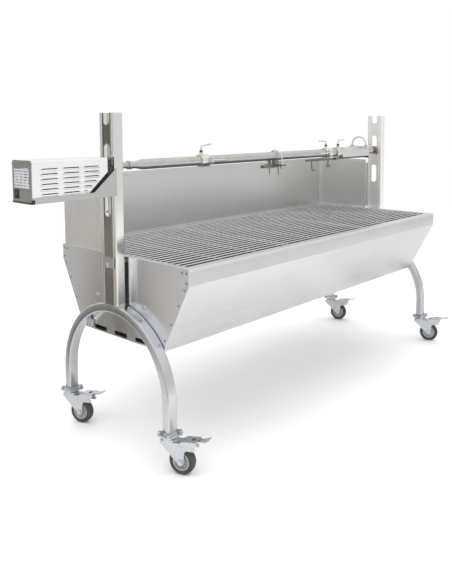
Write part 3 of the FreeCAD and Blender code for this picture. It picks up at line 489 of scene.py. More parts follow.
def zinc(name):
    """Bright zinc plating: bluish, with faint crystal patches."""
    graph = Graph(name, metallic=1.0)
    cells = graph.add("TexVoronoi", "Distance", {"Vector": graph.coords, "Scale": 260.0})
    soft = graph.noise(70.0, 4.0, 0.6)
    tone = graph.combine(graph.combine(cells, soft, "ADD"), 0.5)
    graph.colour(tone, (0.2, (0.52, 0.55, 0.59)), (0.5, (0.60, 0.635, 0.67)),
                 (0.8, (0.69, 0.715, 0.745)))
    graph.roughness(soft, 0.24, 0.42)
    graph.bump(soft, 0.00005, 1.0, 0.0006)
    return graph.material


def paint(name, colour, roughness, scale=900.0, depth=0.00008):
    """Sprayed or moulded surface with fine texture and slight unevenness."""
    graph = Graph(name)
    fine = graph.noise(scale, 3.0, 0.5)
    broad = graph.noise(30.0, 3.0, 0.5)
    graph.colour(broad, (0.3, scaled(colour, 0.8)), (0.7, scaled(colour, 1.25)))
    graph.roughness(broad, roughness - 0.06, roughness + 0.08)
    graph.bump(fine, depth, 0.8, 0.0006)
    return graph.material


def rubber(name, colour):
    """Moulded tread rubber with dusty patches."""
    graph = Graph(name)
    fine = graph.noise(700.0, 4.0, 0.7)
    dust = graph.noise(45.0, 5.0, 0.65)
    graph.colour(dust, (0.30, scaled(colour, 0.75)), (0.55, colour), (0.75, scaled(colour, 1.5)))
    graph.roughness(dust, 0.55, 0.8)
    graph.shader.inputs["Specular IOR Level"].default_value = 0.35
    graph.bump(fine, 0.00015, 0.9)
    return graph.material


def label(name):
    """White enamelled plate with faint grey rows where its printing would be."""
    graph = Graph(name)
    waves = graph.add("TexWave", "Fac", {"Vector": graph.coords, "Scale": 42.0},
                      bands_direction="Z")
    words = graph.spread(graph.noise(1.0, 1.0, 0.5, (1, 190, 30)), 0.0, 1.0, 0.42, 0.50)
    rows = graph.combine(graph.spread(waves, 0.0, 1.0, 0.50, 0.75), words)
    graph.colour(rows, (0.0, (0.52, 0.53, 0.565)), (1.0, (0.15, 0.155, 0.17)))
    graph.roughness(graph.noise(60.0, 3.0, 0.5), 0.40, 0.52)
    return graph.material


def finish(material, *nodes):
    """Gives a material to CAD nodes."""
    for node in nodes:
        mesh = NODES[node].data
        mesh.materials.clear()
        mesh.materials.append(material)
    return material


CORNERS = {"front_left": (-1, -1), "back_left": (-1, 1), "front_right": (1, -1),
           "back_right": (1, 1)}
ALONG_X, ALONG_Y, ALONG_Z = (0.6, 40, 40), (40, 0.6, 40), (40, 40, 0.6)


def at_corners(part):
    return [f"caster_{part}_{corner}" for corner in CORNERS]


panel_steel = finish(steel("panel_steel", (0.77, 0.77, 0.765), 0.32, ALONG_X, 0.07),
                     "firebox_front_panel", "firebox_back_panel")
# Painted shade on the firebox walls: their upright bands and the inner faces below the rim are
# darker in the colour
painted_wall_shade(panel_steel, 0.80, 0.16, RIM_Z * MM)
# The firebox floor is near-black steel as painted shade under the cooking grates
finish(steel("firebox_floor_painted_shade", (0.16, 0.155, 0.15), 0.45, ALONG_X, 0.2), "firebox_floor")
finish(steel("end_steel", (0.865, 0.88, 0.915), 0.21, ALONG_Z, 0.06, 0.04),
       "end_panel_left", "end_panel_right")
finish(steel("screen_steel", (0.70, 0.70, 0.695), 0.33, ALONG_Z, 0.07, 0.04), "windscreen_back")
# The wings' steel is a lighter copy of the windscreen's: the brighter base colour is painted light
finish(steel("wing_steel_painted_light", (0.84, 0.835, 0.82), 0.33, ALONG_Z, 0.07, 0.04),
       "windscreen_wing_left", "windscreen_wing_right")
post_steel = finish(
    steel("post_steel", (0.80, 0.79, 0.765), 0.14, ALONG_Z, 0.05, 0.03), "post_left")
# The right post's steel is a lighter copy of the left post's: its brighter base colour is painted
# light
satin_post_steel_painted_light = finish(
    steel("satin_post_steel_painted_light", (0.97, 0.965, 0.95), 0.46, ALONG_Z, 0.05, 0.03), "post_right")
tube_steel = finish(
    steel("tube_steel", (0.60, 0.61, 0.63), 0.24, (14, 14, 14), 0.05, 0.03, bump=0.000004),
    "arch_leg_left", "arch_leg_right")
# Painted shade on the leg bracket: its parts below the channel are darker in the colour
painted_shade_below(finish(steel("bracket_steel", (0.72, 0.72, 0.71), 0.36, ALONG_X, 0.05), "leg_bracket"),
           0.32, CHANNEL_BOTTOM_Z * MM)
finish(steel("brace_steel", (0.26, 0.245, 0.22), 0.38, ALONG_X, 0.12), "spine_brace_plate")
finish(steel("cover_steel", (0.97, 0.97, 0.96), 0.42, ALONG_X, 0.04), "motor_cover")
finish(steel("plate_steel", (0.55, 0.55, 0.54), 0.36, ALONG_X, 0.05),
       "motor_bracket", "post_clamp_plates")
grate_steel = finish(
    steel("grate_steel", (0.66, 0.66, 0.67), 0.27, (2, 30, 30), 0.10, edge=0.0),
    "cooking_grate_left", "cooking_grate_middle", "cooking_grate_right")
# The charcoal grate is near-black as painted shade under the cooking grates
finish(steel("charcoal_steel", (0.12, 0.115, 0.11), 0.46, (10, 10, 10), 0.25, 0.10),
       "charcoal_grate")
finish(steel("gear_steel", (0.52, 0.52, 0.52), 0.34, (20, 20, 20), 0.12),
       "drive_gear", "motor_pinion")
finish(steel("motor_end_grey", (0.40, 0.395, 0.375), 0.40, ALONG_Y, 0.12), "motor_end_plate")
finish(steel("bronze", (0.40, 0.36, 0.30), 0.36, (30, 30, 30), 0.15), "spit_bearing")
bolt_steel = finish(
    steel("bolt_steel", (0.66, 0.66, 0.67), 0.28, (40, 40, 40), 0.16, edge=0.0003), "frame_bolts")
rivet_steel = finish(
    steel("rivet_steel", (0.30, 0.30, 0.31), 0.34, (40, 40, 40), 0.16, edge=0.0003), "panel_rivets")
rod_steel = finish(
    bright_rod("rod_steel", (0.78, 0.78, 0.77), 0.20), "fork_left", "fork_right", "fork_left_screw",
    "fork_right_screw", "leg_bracket_screw", "leg_ubolt", "spine_ubolt")
# The spit bar's steel is a darker, beige copy of the rod steel: painted shade
spit_steel_painted_shade = finish(bright_rod("spit_steel_painted_shade", (0.58, 0.565, 0.53), 0.30), "spit_rod")
dark_nut = paint("dark_nut", (0.035, 0.035, 0.037), 0.38)
finish(paint("black_paint", (0.022, 0.022, 0.024), 0.36), "gearbox_housing", "motor_body")
black_plastic = finish(paint("black_plastic", (0.016, 0.016, 0.017), 0.26, 1400.0, 0.00003),
                       "switch_bezel", "switch_rocker")
zinc_plate = finish(zinc("zinc_plate"), "caster_plates", *at_corners("fork"), *at_corners("axle"),
                    *at_corners("brake_pedal"))
tyre_rubber = finish(rubber("tyre_rubber", (0.065, 0.064, 0.064)), *at_corners("tyre"))
hub_plastic = finish(paint("hub_plastic", (0.42, 0.415, 0.41), 0.48, 500.0, 0.00012),
                     *at_corners("hub"))
label_face = label("label_face")


def dress(piece, material, body, slot, *replaced):
    """Gives a new piece its material and body, and hides the CAD nodes it stands for; slot is not
    used.
    """
    piece.data.materials.append(material)
    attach(piece, body)
    if replaced:
        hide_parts(*replaced)
    return piece


# ---- sheet metal --------------------------------------------------------------------
def slab(outline, thickness, bevel=0.4):
    """A plate with softened edges: a closed local XY outline, thick along local Z."""
    points2d = [Vector(p[:2]) for p in outline]
    area = sum(a.x * b.y - b.x * a.y for a, b in zip(points2d, points2d[1:] + points2d[:1]))
    if area < 0:
        points2d.reverse()
    inset = []
    for i, p in enumerate(points2d):
        before = (p - points2d[i - 1]).normalized()
        after = (points2d[(i + 1) % len(points2d)] - p).normalized()
        n1, n2 = Vector((-before.y, before.x)), Vector((-after.y, after.x))
        inset.append(p + (n1 + n2) * (bevel / max(0.4, 1 + n1.dot(n2))))
    rings = [(inset, 0.0), (points2d, bevel), (points2d, thickness - bevel), (inset, thickness)]
    points = [(p.x, p.y, z) for ring, z in rings for p in ring]
    return Shape().join(points, capped(4, len(points2d)))


def box_outline(x0, x1, y0, y1, radius, steps=5):
    return rounded([(x0, y0), (x1, y0), (x1, y1), (x0, y1)], radius, steps, closed=True)


def upright_plate(y):
    """Puts a slab drawn in X and Z at that Y, thick towards +Y."""
    return Matrix(((1, 0, 0, 0), (0, 0, 1, y), (0, 1, 0, 0), (0, 0, 0, 1)))


def end_plate(x):
    """Puts a slab drawn in Y and Z at that X, thick towards +X."""
    return Matrix(((0, 0, 1, x), (1, 0, 0, 0), (0, 1, 0, 0), (0, 0, 0, 1)))


def long_panel(side):
    """One long wall of the firebox, folded from one sheet; side is -1 in front and 1 behind."""
    rim_in = RIM_HALF_DEPTH - RIM_FLANGE
    folds = [(rim_in - LEDGE_WIDTH, RIM_Z - LEDGE_DROP), (rim_in, RIM_Z - LEDGE_DROP),
             (rim_in, RIM_Z), (RIM_HALF_DEPTH, RIM_Z), (RIM_HALF_DEPTH, BAND_Z),
             (FLOOR_HALF_DEPTH, FLOOR_Z), (FLOOR_HALF_DEPTH - 28, FLOOR_Z)]
    outer = rounded(folds, [0, 0.6, 2.6, 2.6, 1.5, 3.0, 0], 6)
    outline = thicken([Vector((-p.x, p.y)) for p in outer], SHEET)
    reach = HALF_LENGTH - SHEET
    return extrude_x([(p.x * -side, p.y) for p in outline], -reach, reach)


for side, name in ((-1, "front"), (1, "back")):
    node = f"firebox_{name}_panel"
    dress(long_panel(side).piece(f"{name}_panel_sheet", 24), panel_steel, "stand",
          "stainless_sheet", node)


def arch_leg(side):
    """Bent tube with weld beads, foot plates and the two lugs behind the end panel."""
    section = box_outline(-LEG_WIDE / 2, LEG_WIDE / 2, -LEG_THICK / 2, LEG_THICK / 2, 5.0)
    foot_top = FOOT_Z + FOOT_THICK
    stations = [(-1, foot_top - 2, 0), (-1, LEG_SPRING_Z - 8, 0)]
    stations += [(0, 0, pi * k / 96) for k in range(97)]
    stations += [(1, LEG_SPRING_Z - 8, 0), (1, foot_top - 2, 0)]
    points = []
    for leg, z, turn in stations:
        for p in section:
            reach = LEG_RADIUS + p.y
            y = leg * reach if leg else -reach * cos(turn)
            points.append((LEG_X + p.x, y, z if leg else LEG_SPRING_Z + reach * sin(turn)))
    shape = Shape().join(points, capped(len(stations), len(section)))
    for leg in (-1, 1):
        y = leg * LEG_RADIUS
        outline = box_outline(LEG_X - 30, LEG_X + 30, y - 25, y + 25, 8, 7)
        shape.add(slab(outline, FOOT_THICK, 0.5), shift(0, 0, FOOT_Z))
        bead = box_outline(LEG_X - LEG_WIDE / 2 - 0.6, LEG_X + LEG_WIDE / 2 + 0.6,
                           y - LEG_THICK / 2 - 0.6, y + LEG_THICK / 2 + 0.6, 5.6, 6)
        shape.add(weld_bead([Vector((p.x, p.y, foot_top + 0.2)) for p in bead], 1.9))
        lug = rounded([(leg * 165, 322), (leg * 128, 322), (leg * 128, 346), (leg * 150, 352)],
                      2.5, 4, closed=True)
        shape.add(slab(lug, 3.0, 0.4), end_plate(LEG_X - LEG_WIDE / 2))
    return Shape().add(shape, Matrix.Diagonal((side, 1, 1, 1)))


def weld_bead(loop, radius):
    """A closed bead along a loop of points, with the ripples of a hand weld."""
    dense = []
    for a, b in zip(loop, loop[1:] + loop[:1]):
        count = max(1, int((b - a).length / 1.3))
        dense += [a.lerp(b, k / count) for k in range(count)]
    points, segments, up = [], 8, Vector(UP)
    for i, p in enumerate(dense):
        along = (dense[(i + 1) % len(dense)] - dense[i - 1]).normalized()
        side = along.cross(up).normalized()
        r = radius * (0.86 + 0.14 * cos(i * 2.1) + 0.05 * sin(i * 0.37))
        points += [p + (side * c + up * d) * r for c, d in circle(segments)]
    faces = [[v % len(points) for v in face] for face in bands(len(dense) + 1, segments)]
    return Shape().join(points, faces)


for side, name in ((-1, "left"), (1, "right")):
    dress(arch_leg(side).piece(f"arch_tube_{name}", 28), tube_steel, "stand", "stainless_bright",
          f"arch_leg_{name}")


# ---- posts --------------------------------------------------------------------------
POST_TOP, SLOT_PITCH, SLOT_LONG, SLOT_HALF = high("post_left").z, 133.0, 78.5, 13


def carve(piece, cutters, angle=30.0):
    """Cuts closed shapes out of a piece."""
    tools = [cutter.piece("cutter") for cutter in cutters]
    for tool in tools:
        modifier = piece.modifiers.new("cut", "BOOLEAN")
        modifier.object, modifier.solver = tool, "EXACT"
    depsgraph = bpy.context.evaluated_depsgraph_get()
    carved = bpy.data.meshes.new_from_object(piece.evaluated_get(depsgraph))
    piece.modifiers.clear()
    piece.data = carved
    carved.set_sharp_from_angle(angle=radians(angle))
    for tool in tools:
        bpy.data.objects.remove(tool)
    return piece


def post(web_x):
    """Lipped channel with rounded bends and two ribs pressed out of its slotted web."""
    half, far, lip, rib = 35.0, web_x + 32.0, 7.0, web_x - 1.2
    start, end = [(far, half - lip), (far, half)], [(far, -half), (far, -half + lip)]
    ribs = []
    for y in (23, -23):
        ribs += [(web_x, y + 2.6), (rib, y + 1.2), (rib, y - 1.2), (web_x, y - 2.6)]
    corners = [(web_x, half), (web_x, -half)]
    plain = rounded(start + corners + end, [0, 3.5, 6.5, 6.5, 3.5, 0], 6)
    ribbed = rounded(start + corners[:1] + ribs + corners[1:] + end,
                     [0, 3.5, 6.5] + [0.7] * 8 + [6.5, 3.5, 0], 6)
    section = ribbed + thicken(plain, POST_WALL)[len(plain):]
    foot = LEG_SPRING_Z + LEG_RADIUS
    channel = Shape().add(slab(section, POST_TOP - foot, 0.25), shift(0, 0, foot))
    arch_r = LEG_RADIUS + LEG_THICK / 2
    cutters = [Shape().add(rod(arch_r, 0, 80, 240),
                           towards((web_x - 20, 0, LEG_SPRING_Z), (1, 0, 0)))]
    for step in (-1, 0, 1):
        z = SPIT_Z - SLOT_HALF + step * SLOT_PITCH
        slot = slab(box_outline(-SLOT_HALF, SLOT_HALF, z, z + SLOT_LONG, 12.99, 12), 12, 0.0001)
        cutters.append(Shape().add(slot, end_plate(web_x - 6)))
    return carve(channel.piece("post", 30), cutters)


for name, web_x, material in (("left", LEFT_WEB_X, post_steel),
                              ("right", RIGHT_WEB_X, satin_post_steel_painted_light)):
    piece = dress(post(web_x), material, "stand", "stainless_bright", f"post_{name}")
    piece.name = f"post_channel_{name}"


# ---- cooking grates -----------------------------------------------------------------
GRATE_BAR_R, GRATE_PITCH, GRATE_CROSS_R = 3.0, 24.0, 3.5


def cooking_grate(node):
    """Round bars along X on four cross rods, with a weld spot at every crossing."""
    x0, x1 = low(node).x, high(node).x
    half_y = high(node).y
    bar_z = high(node).z - GRATE_BAR_R
    cross_z = low(node).z + GRATE_CROSS_R
    middle, half = (x0 + x1) / 2, (x1 - x0) / 2
    shape = Shape()
    crossings = [middle + step * (half - 9) for step in (-1, -1 / 3, 1 / 3, 1)]
    for x in crossings:
        shape.add(sweep([Vector((x, -half_y, cross_z)), Vector((x, half_y, cross_z))],
                        GRATE_CROSS_R, 14, 0.9))
    count = int((half_y - 4) // GRATE_PITCH)
    spot = lathe([(0, -1.0), (1.9, -0.7), (2.5, 0.0), (1.9, 0.7), (0, 1.0)], 8)
    for step in range(-count, count + 1):
        y = step * GRATE_PITCH
        shape.add(sweep([Vector((x0, y, bar_z)), Vector((x1, y, bar_z))], GRATE_BAR_R, 14, 0.9))
        for x in crossings:
            for flank in (-1, 1):
                shape.add(spot, shift(x + flank * 2.6, y, (bar_z + cross_z) / 2))
    return shape


for name in ("left", "middle", "right"):
    node = f"cooking_grate_{name}"
    dress(cooking_grate(node).piece(f"grate_bars_{name}", 40), grate_steel, f"grate_{name}",
          "grate_steel", node)


# ---- fasteners ----------------------------------------------------------------------
def hex_bolt(across_flats, grip, radius, head=5.0):
    """Head at local z >= grip, washer and shank below it; the threaded end is at local z = 0."""
    shape = Shape().add(hex_body(across_flats, head), shift(0, 0, grip))
    shape.add(washer(across_flats * 0.68, radius, 0.9), shift(0, 0, grip - 0.05))
    mark = lathe([(0, 0), (across_flats * 0.36, 0), (across_flats * 0.33, 0.35), (0, 0.35)], 32)
    shape.add(mark, shift(0, 0, grip + head))
    shape.add(rod(radius, 0, grip, 24))
    return shape


def frame_bolts():
    """Every visible bolt of the stand, washers and all."""
    shape = Shape()
    inner = HALF_LENGTH - SHEET
    rib, clamp = 1.2, 4.0
    left_grip = -LEFT_WEB_X + rib + clamp - inner
    right_grip = RIGHT_WEB_X + POST_WALL + clamp - inner
    shape.add(hex_bolt(13, left_grip, 4), towards((-inner, 0, CLAMP_Z), (-1, 0, 0)))
    shape.add(hex_bolt(13, right_grip, 4), towards((inner, 0, CLAMP_Z), (1, 0, 0)))
    lug_face = LEG_X - LEG_WIDE / 2 + 3 - HALF_LENGTH
    for side in (-1, 1):
        for flank in (-1, 1):
            panel_bolt = (side * inner, flank * 112, 431)
            lug_bolt = (side * inner, flank * 140, 333.5)
            shape.add(hex_bolt(10, SHEET, 3), towards(panel_bolt, (side, 0, 0)))
            shape.add(hex_bolt(13, SHEET + lug_face, 4), towards(lug_bolt, (side, 0, 0)))
        wing = (side * (HALF_LENGTH + 17), 35 - POST_WALL, WING_BOLT_Z)
        shape.add(hex_bolt(10, POST_WALL + SHEET, 3), towards(wing, (0, 1, 0)))
    tip_x = -776.0
    for y in (-14, 14):
        shape.add(hex_bolt(10, LEFT_WEB_X + POST_WALL - tip_x, 3),
                  towards((tip_x, y, DRIVE_BOLT_Z), (1, 0, 0)))
    return shape


dress(frame_bolts().piece("bolt_heads", 30), bolt_steel, "stand", "fastener", "frame_bolts")


def panel_rivets():
    """Domed rivets with their flat flange, down the sloping edges of both end panels."""
    slope = Vector((RIM_HALF_DEPTH - FLOOR_HALF_DEPTH, BAND_Z - FLOOR_Z)).normalized()
    spots = [(-RIM_HALF_DEPTH + 9, RIM_Z - 12), (-RIM_HALF_DEPTH + 26, RIM_Z - 12),
             (-RIM_HALF_DEPTH + 9, BAND_Z + 8)]
    for reach in (14, 66, 132, 190):
        spots.append((-RIM_HALF_DEPTH + 11 + slope.x * reach, BAND_Z - slope.y * reach))
    dome = lathe([(0, 2.5), (0.9, 2.42), (1.8, 2.1), (2.6, 1.55), (3.1, 0.9), (3.3, 0.45),
                  (3.8, 0.35), (3.8, -0.3), (0, -0.3)], 28)
    shape = Shape()
    for side in (-1, 1):
        for y, z in spots:
            for flip in (-1, 1):
                shape.add(dome, towards((side * HALF_LENGTH, y * flip, z), (side, 0, 0)))
    return shape


dress(panel_rivets().piece("rivet_heads", 40), rivet_steel, "stand", "fastener", "panel_rivets")


# ---- spit and its fittings ----------------------------------------------------------
def spit_rod():
    """Square drive end, neck, collar and cone, long bar and the right journal."""
    profile = [(0, -744), (8.8, -744), (9.5, -743.3), (9.5, -694.6), (10.2, -694), (12.4, -694),
               (13, -693.4), (13, -682.6), (12.4, -682), (11, -682), (11, -662), (11.3, -660.6),
               (SPIT_R - 0.4, -642), (SPIT_R, -640), (SPIT_R, 703.2), (SPIT_R - 0.8, 704), (9, 704),
               (9, 763.5), (7, 766), (0, 766)]
    square = slab(box_outline(-6, 6, -6, 6, 1.0, 3), 24, 0.8)
    bar = Shape().add(lathe(profile, 48), towards((0, 0, SPIT_Z), (1, 0, 0)))
    return bar.add(square, towards((-766, 0, SPIT_Z), (1, 0, 0)))


def fork(barrel_x0, plate_x, prong_to, screw_x):
    """Meat fork: chamfered barrel, cross plate, welded prongs ground to points, screw boss."""
    shape = Shape().add(collar(SPIT_R + 0.1, 20.5, 0, 42, 1.4, 3, 48),
                        towards((barrel_x0, 0, SPIT_Z), (1, 0, 0)))
    plate = box_outline(-30, 30, SPIT_Z - 13, SPIT_Z + 13, 7, 8)
    shape.add(slab(plate, 4, 0.6), end_plate(plate_x - 2))
    shape.add(collar(3.2, 6.5, 0, 9, 0.8, 3, 32), shift(screw_x, 0, SPIT_Z + 18))
    direction = 1 if prong_to > plate_x else -1
    length = abs(prong_to - plate_x)
    for y in (-24, 24):
        stem = [(0, -1), (2.4, -1), (3, -0.4), (3, length - 19), (2.7, length - 14),
                (1.9, length - 7), (0.9, length - 2), (0.35, length - 0.4), (0, length)]
        shape.add(lathe(stem, 24), towards((plate_x, y, SPIT_Z), (direction, 0, 0)))
        ring = lathe([(3.0, 0), (4.4, 0), (3.9, 1.1), (3.0, 1.9)], 24)
        shape.add(ring, towards((plate_x + 2 * direction, y, SPIT_Z), (direction, 0, 0)))
    return shape


def clamp_screw(x, way, rise):
    """Bent-handle screw with a threaded shank."""
    start, top = SPIT_Z + 20.8, SPIT_Z + 48.5
    path = smooth_path([(x, 0, start + 14), (x, 0, top), (x + way * 46, 0, top + rise)], 7.0, 10)
    shape = sweep(path, 3.0, 20, 0.7)
    shape.add(thread(3.0, 15.0, 1.0, 0.4), shift(x, 0, start))
    return shape


def lock_nut(x):
    return Shape().add(hex_body(9.7, 7, 0.9, 3.0), shift(x, 0, SPIT_Z + 27.4))


dress(spit_rod().piece("spit_bar", 30), spit_steel_painted_shade, "spit", "chrome_rod", "spit_rod")
for side, places in (("left", (-396, -358, -274, FORK_LEFT_SCREW_X)),
                     ("right", (330, 336, 262, FORK_RIGHT_SCREW_X))):
    dress(fork(*places).piece(f"{side}_fork", 30), rod_steel, f"fork_{side}", "chrome_rod",
          f"fork_{side}")
for name, x, way, rise in (("fork_left_screw", FORK_LEFT_SCREW_X, 1, 6),
                           ("fork_right_screw", FORK_RIGHT_SCREW_X, -1, 1),
                           ("leg_bracket_screw", BRACKET_SCREW_X, 1, 4)):
    dress(clamp_screw(x, way, rise).piece(name + "_handle", 40), rod_steel, name, "chrome_rod",
          name)
    dress(lock_nut(x).piece(name + "_nut", 30), dark_nut, name, "black_paint")


def u_bolt(x, radius, rod_r, bottom, centre_z, threaded):
    """Bent bar with a threaded length at the bottom of each leg."""
    turns = [pi * k / 32 for k in range(33)]
    arc = [Vector((x, -radius * cos(a), centre_z + radius * sin(a))) for a in turns]
    start = bottom + threaded
    path = [Vector((x, -radius, start - 0.5))] + arc + [Vector((x, radius, start - 0.5))]
    shape = sweep(path, rod_r, 22, 0.5)
    for y in (-radius, radius):
        shape.add(thread(rod_r, threaded, 1.25, 0.45), shift(x, y, bottom))
    return shape


def nut_set(x, radius, rod_r, spots):
    shape = Shape()
    for z, flats, height in spots:
        for y in (-radius, radius):
            shape.add(hex_body(flats, height, 1.0, rod_r, radians(30)), shift(x, y, z))
    return shape


LEG_UBOLT_X = (low("leg_ubolt").x + high("leg_ubolt").x) / 2
SPINE_UBOLT_X = (low("spine_ubolt").x + high("spine_ubolt").x) / 2
for body, name, bar, nuts in (
        ("leg_bracket", "leg_ubolt", (LEG_UBOLT_X, 34, 3.5, SPIT_Z + 6, SPIT_Z + 28, 21),
         [(SPIT_Z + 10, 12, 8), (SPIT_Z + 22, 12, 6)]),
        ("spine_brace", "spine_ubolt", (SPINE_UBOLT_X, 31, 3.0, SPIT_Z - 48.5, SPIT_Z - 10.5, 30),
         [(SPIT_Z - 31.5, 14, 14), (SPIT_Z - 43.5, 11, 7)])):
    dress(u_bolt(*bar).piece(f"{name}_bar", 40), rod_steel, body, "chrome_rod", name)
    dress(nut_set(*bar[:3], nuts).piece(f"{name}_nuts", 30), bolt_steel, body, "fastener")


# ---- casters ------------------------------------------------------------------------
# Local X is the way a caster trails, local Y its axle, and the origin is on the floor.
ON_AXLE = shift(CASTER_TRAIL, 0, WHEEL_R) @ Matrix.Rotation(radians(-90), 4, "X")


def tyre():
    """Rounded tread with a mould line and shallow rings pressed into each side."""
    half, inner = 12.0, 24.8
    one_side = [(inner, half - 0.6), (26.0, half), (27.6, half), (28.2, half - 0.7),
                (29.2, half - 0.7), (29.8, half), (33.0, half - 0.1), (33.8, half - 0.5),
                (35.6, half - 1.7), (36.8, half - 3.6), (37.3, half - 6.2),
                (WHEEL_R, half - 9.2), (WHEEL_R, 0.55)]
    return lathe(one_side + [(r, -z) for r, z in one_side[::-1]], 80)


def hub():
    """Moulded hub: rim, recessed web with radial ribs, and the boss round the axle."""
    half_rim = [(24.8, 11.2), (24.2, 11.9), (22.6, 12.0), (21.6, 11.4), (20.6, 6.4), (19.6, 5.4),
                (11.4, 5.2), (10.4, 6.2), (9.6, 12.6), (8.8, 13.4), (5.2, 13.4), (4.06, 12.6)]
    shape = lathe(half_rim + [(r, -z) for r, z in half_rim[::-1]], 64)
    rib = slab(box_outline(9.2, 21.6, -1.1, 1.1, 0.4, 2), 20.4, 0.5)
    for k in range(8):
        shape.add(rib, Matrix.Rotation(pi / 4 * k, 4, "Z") @ shift(0, 0, -10.2))
    return shape


def axle():
    """Axle bolt: flanged head on one side, lock nut with its collar on the other."""
    outer = 16.5
    shape = lathe([(0, -outer - 1), (4, -outer - 1), (4, outer + 6.8), (3.3, outer + 7.6),
                   (0, outer + 7.6)], 28)
    shape.add(hex_body(13, 4.3, 0.9), shift(0, 0, -outer - 4.4))
    shape.add(washer(7.6, 4, 0.9), shift(0, 0, -outer - 0.9))
    shape.add(washer(7.8, 4, 1.0), shift(0, 0, outer))
    shape.add(hex_body(13, 4.6, 0.8, 4.0), shift(0, 0, outer + 0.9))
    shape.add(lathe([(4.0, 5.4), (5.4, 5.4), (5.3, 6.4), (4.7, 6.9), (4.0, 6.9)], 32),
              shift(0, 0, outer))
    return shape


def caster_fork():
    """Pressed crown with a ball race, two cheeks and the brake's pivot pins."""
    inner, wall, outer = 14.0, 2.5, 16.5
    shape = Shape().add(collar(5.06, 22, CROWN_Z, SWIVEL_Z, 1.6, 4, 56))
    crown = box_outline(-24, 40, -outer, outer, 3.0, 6)
    shape.add(slab(crown, 3, 0.8), shift(0, 0, CROWN_Z))
    side = [(-24, 91), (-24, 84), (28, 34), (33, 29.5), (40, 28.5), (46, 32), (48, 44), (50, 64),
            (54, 72), (80, 74), (83, 82), (62, 91)]
    cheek = slab(rounded(side, 4.0, 5, closed=True), wall, 0.5)
    for y in (-outer, inner):
        shape.add(cheek, upright_plate(y))
    boss = lathe([(6.8, 0), (9.4, 0), (9.0, 0.7), (8.0, 0.9), (6.8, 0.9)], 36)
    pin = lathe([(0, 0), (2.5, 0), (2.5, 3.2), (2.1, 3.4), (0, 3.4)], 20)
    for way in (-1, 1):
        shape.add(boss, towards((CASTER_TRAIL, way * outer, WHEEL_R), (0, way, 0)))
        shape.add(pin, towards((PEDAL_X, way * outer, PEDAL_Z), (0, way, 0)))
    return shape


def brake_pedal():
    """Folded cover with a window, cheeks on the pivot and a flared foot tab with grip ridges."""
    inner = 16.9
    outer = inner + 1.8
    side = [(PEDAL_X - 6, PEDAL_Z - 4), (PEDAL_X + 6, PEDAL_Z - 5), (88, 90), (88, 103.2),
            (PEDAL_X + 6, 98.4), (PEDAL_X - 6, PEDAL_Z + 8)]
    shape = Shape()
    cheek = slab(rounded(side, 3.0, 4, closed=True), 1.8, 0.4)
    for y in (-outer, inner):
        shape.add(cheek, upright_plate(y))
    roof = [(46, 97.0, 98.8), (65, 98.9, 100.7), (77, 100.4, 102.2), (88, 101.7, 103.5)]
    window = 7.0
    strips = [(0, 1, -outer, outer), (1, 2, -outer, -window), (1, 2, window, outer),
              (2, 3, -outer, outer)]
    for a, b, y0, y1 in strips:
        (xa, la, ha), (xb, lb, hb) = roof[a], roof[b]
        corners = [(xa, y0, la), (xb, y0, lb), (xb, y1, lb), (xa, y1, la),
                   (xa, y0, ha), (xb, y0, hb), (xb, y1, hb), (xa, y1, ha)]
        shape.join(corners, [(0, 3, 2, 1), (4, 5, 6, 7)] + bands(2, 4))
    stations, points = 25, []
    for k in range(stations):
        t = k / (stations - 1)
        x = 86 + 34 * t
        half = 9 + 3.5 * t + 4.5 * t * t - (max(0, k - 20) ** 2 * 0.22)
        z = 101.6 + 7.4 * t * t + (0.45 if 8 < k < 22 and k % 3 == 0 else 0.0)
        points += [(x, -half, z), (x, half, z), (x, half, z + 1.9), (x, -half, z + 1.9)]
    ends = [(0, 1, 2, 3), tuple(len(points) - 1 - i for i in range(4))]
    return shape.join(points, bands(stations, 4) + ends)


def caster_mount(spot):
    """Mounting plate, upper race and kingpin, with four bolts and nuts."""
    shape = Shape()
    plate = slab(box_outline(-30, 30, -25, 25, 8, 7), FOOT_Z - MOUNT_Z, 0.5)
    shape.add(plate, spot @ shift(0, 0, MOUNT_Z))
    race = rounded_profile([(0, 86.4), (8.5, 86.4), (8.5, 83.6), (0, 83.6)], 0.5, 3)
    shape.add(lathe(race, 40), spot)
    upper = [(0, SWIVEL_Z + 0.3), (17.6, SWIVEL_Z + 0.3), (19, SWIVEL_Z + 1.6), (19, 99.6),
             (20.6, 101.4), (0, 101.4)]
    shape.add(lathe(upper, 48), spot)
    shape.add(rod(5, 85, 99, 24), spot)
    for dx in (-22.5, 22.5):
        for dy in (-17.5, 17.5):
            at = spot @ shift(dx, dy, 0)
            head = rounded_profile([(0, 98.8), (5.2, 98.8), (5.2, 101.4), (0, 101.4)], 1.1, 4)
            shape.add(lathe(head, 24), at)
            shape.add(washer(5.8, 3, 0.9), at @ shift(0, 0, FOOT_Z + FOOT_THICK))
            shape.add(hex_body(10, 4.9, 0.8, 3.0), at @ shift(0, 0, FOOT_Z + 4.4))
            shape.add(thread(3.0, 4.4, 1.0, 0.35, 16), at @ shift(0, 0, FOOT_Z + 6.3))
    return shape


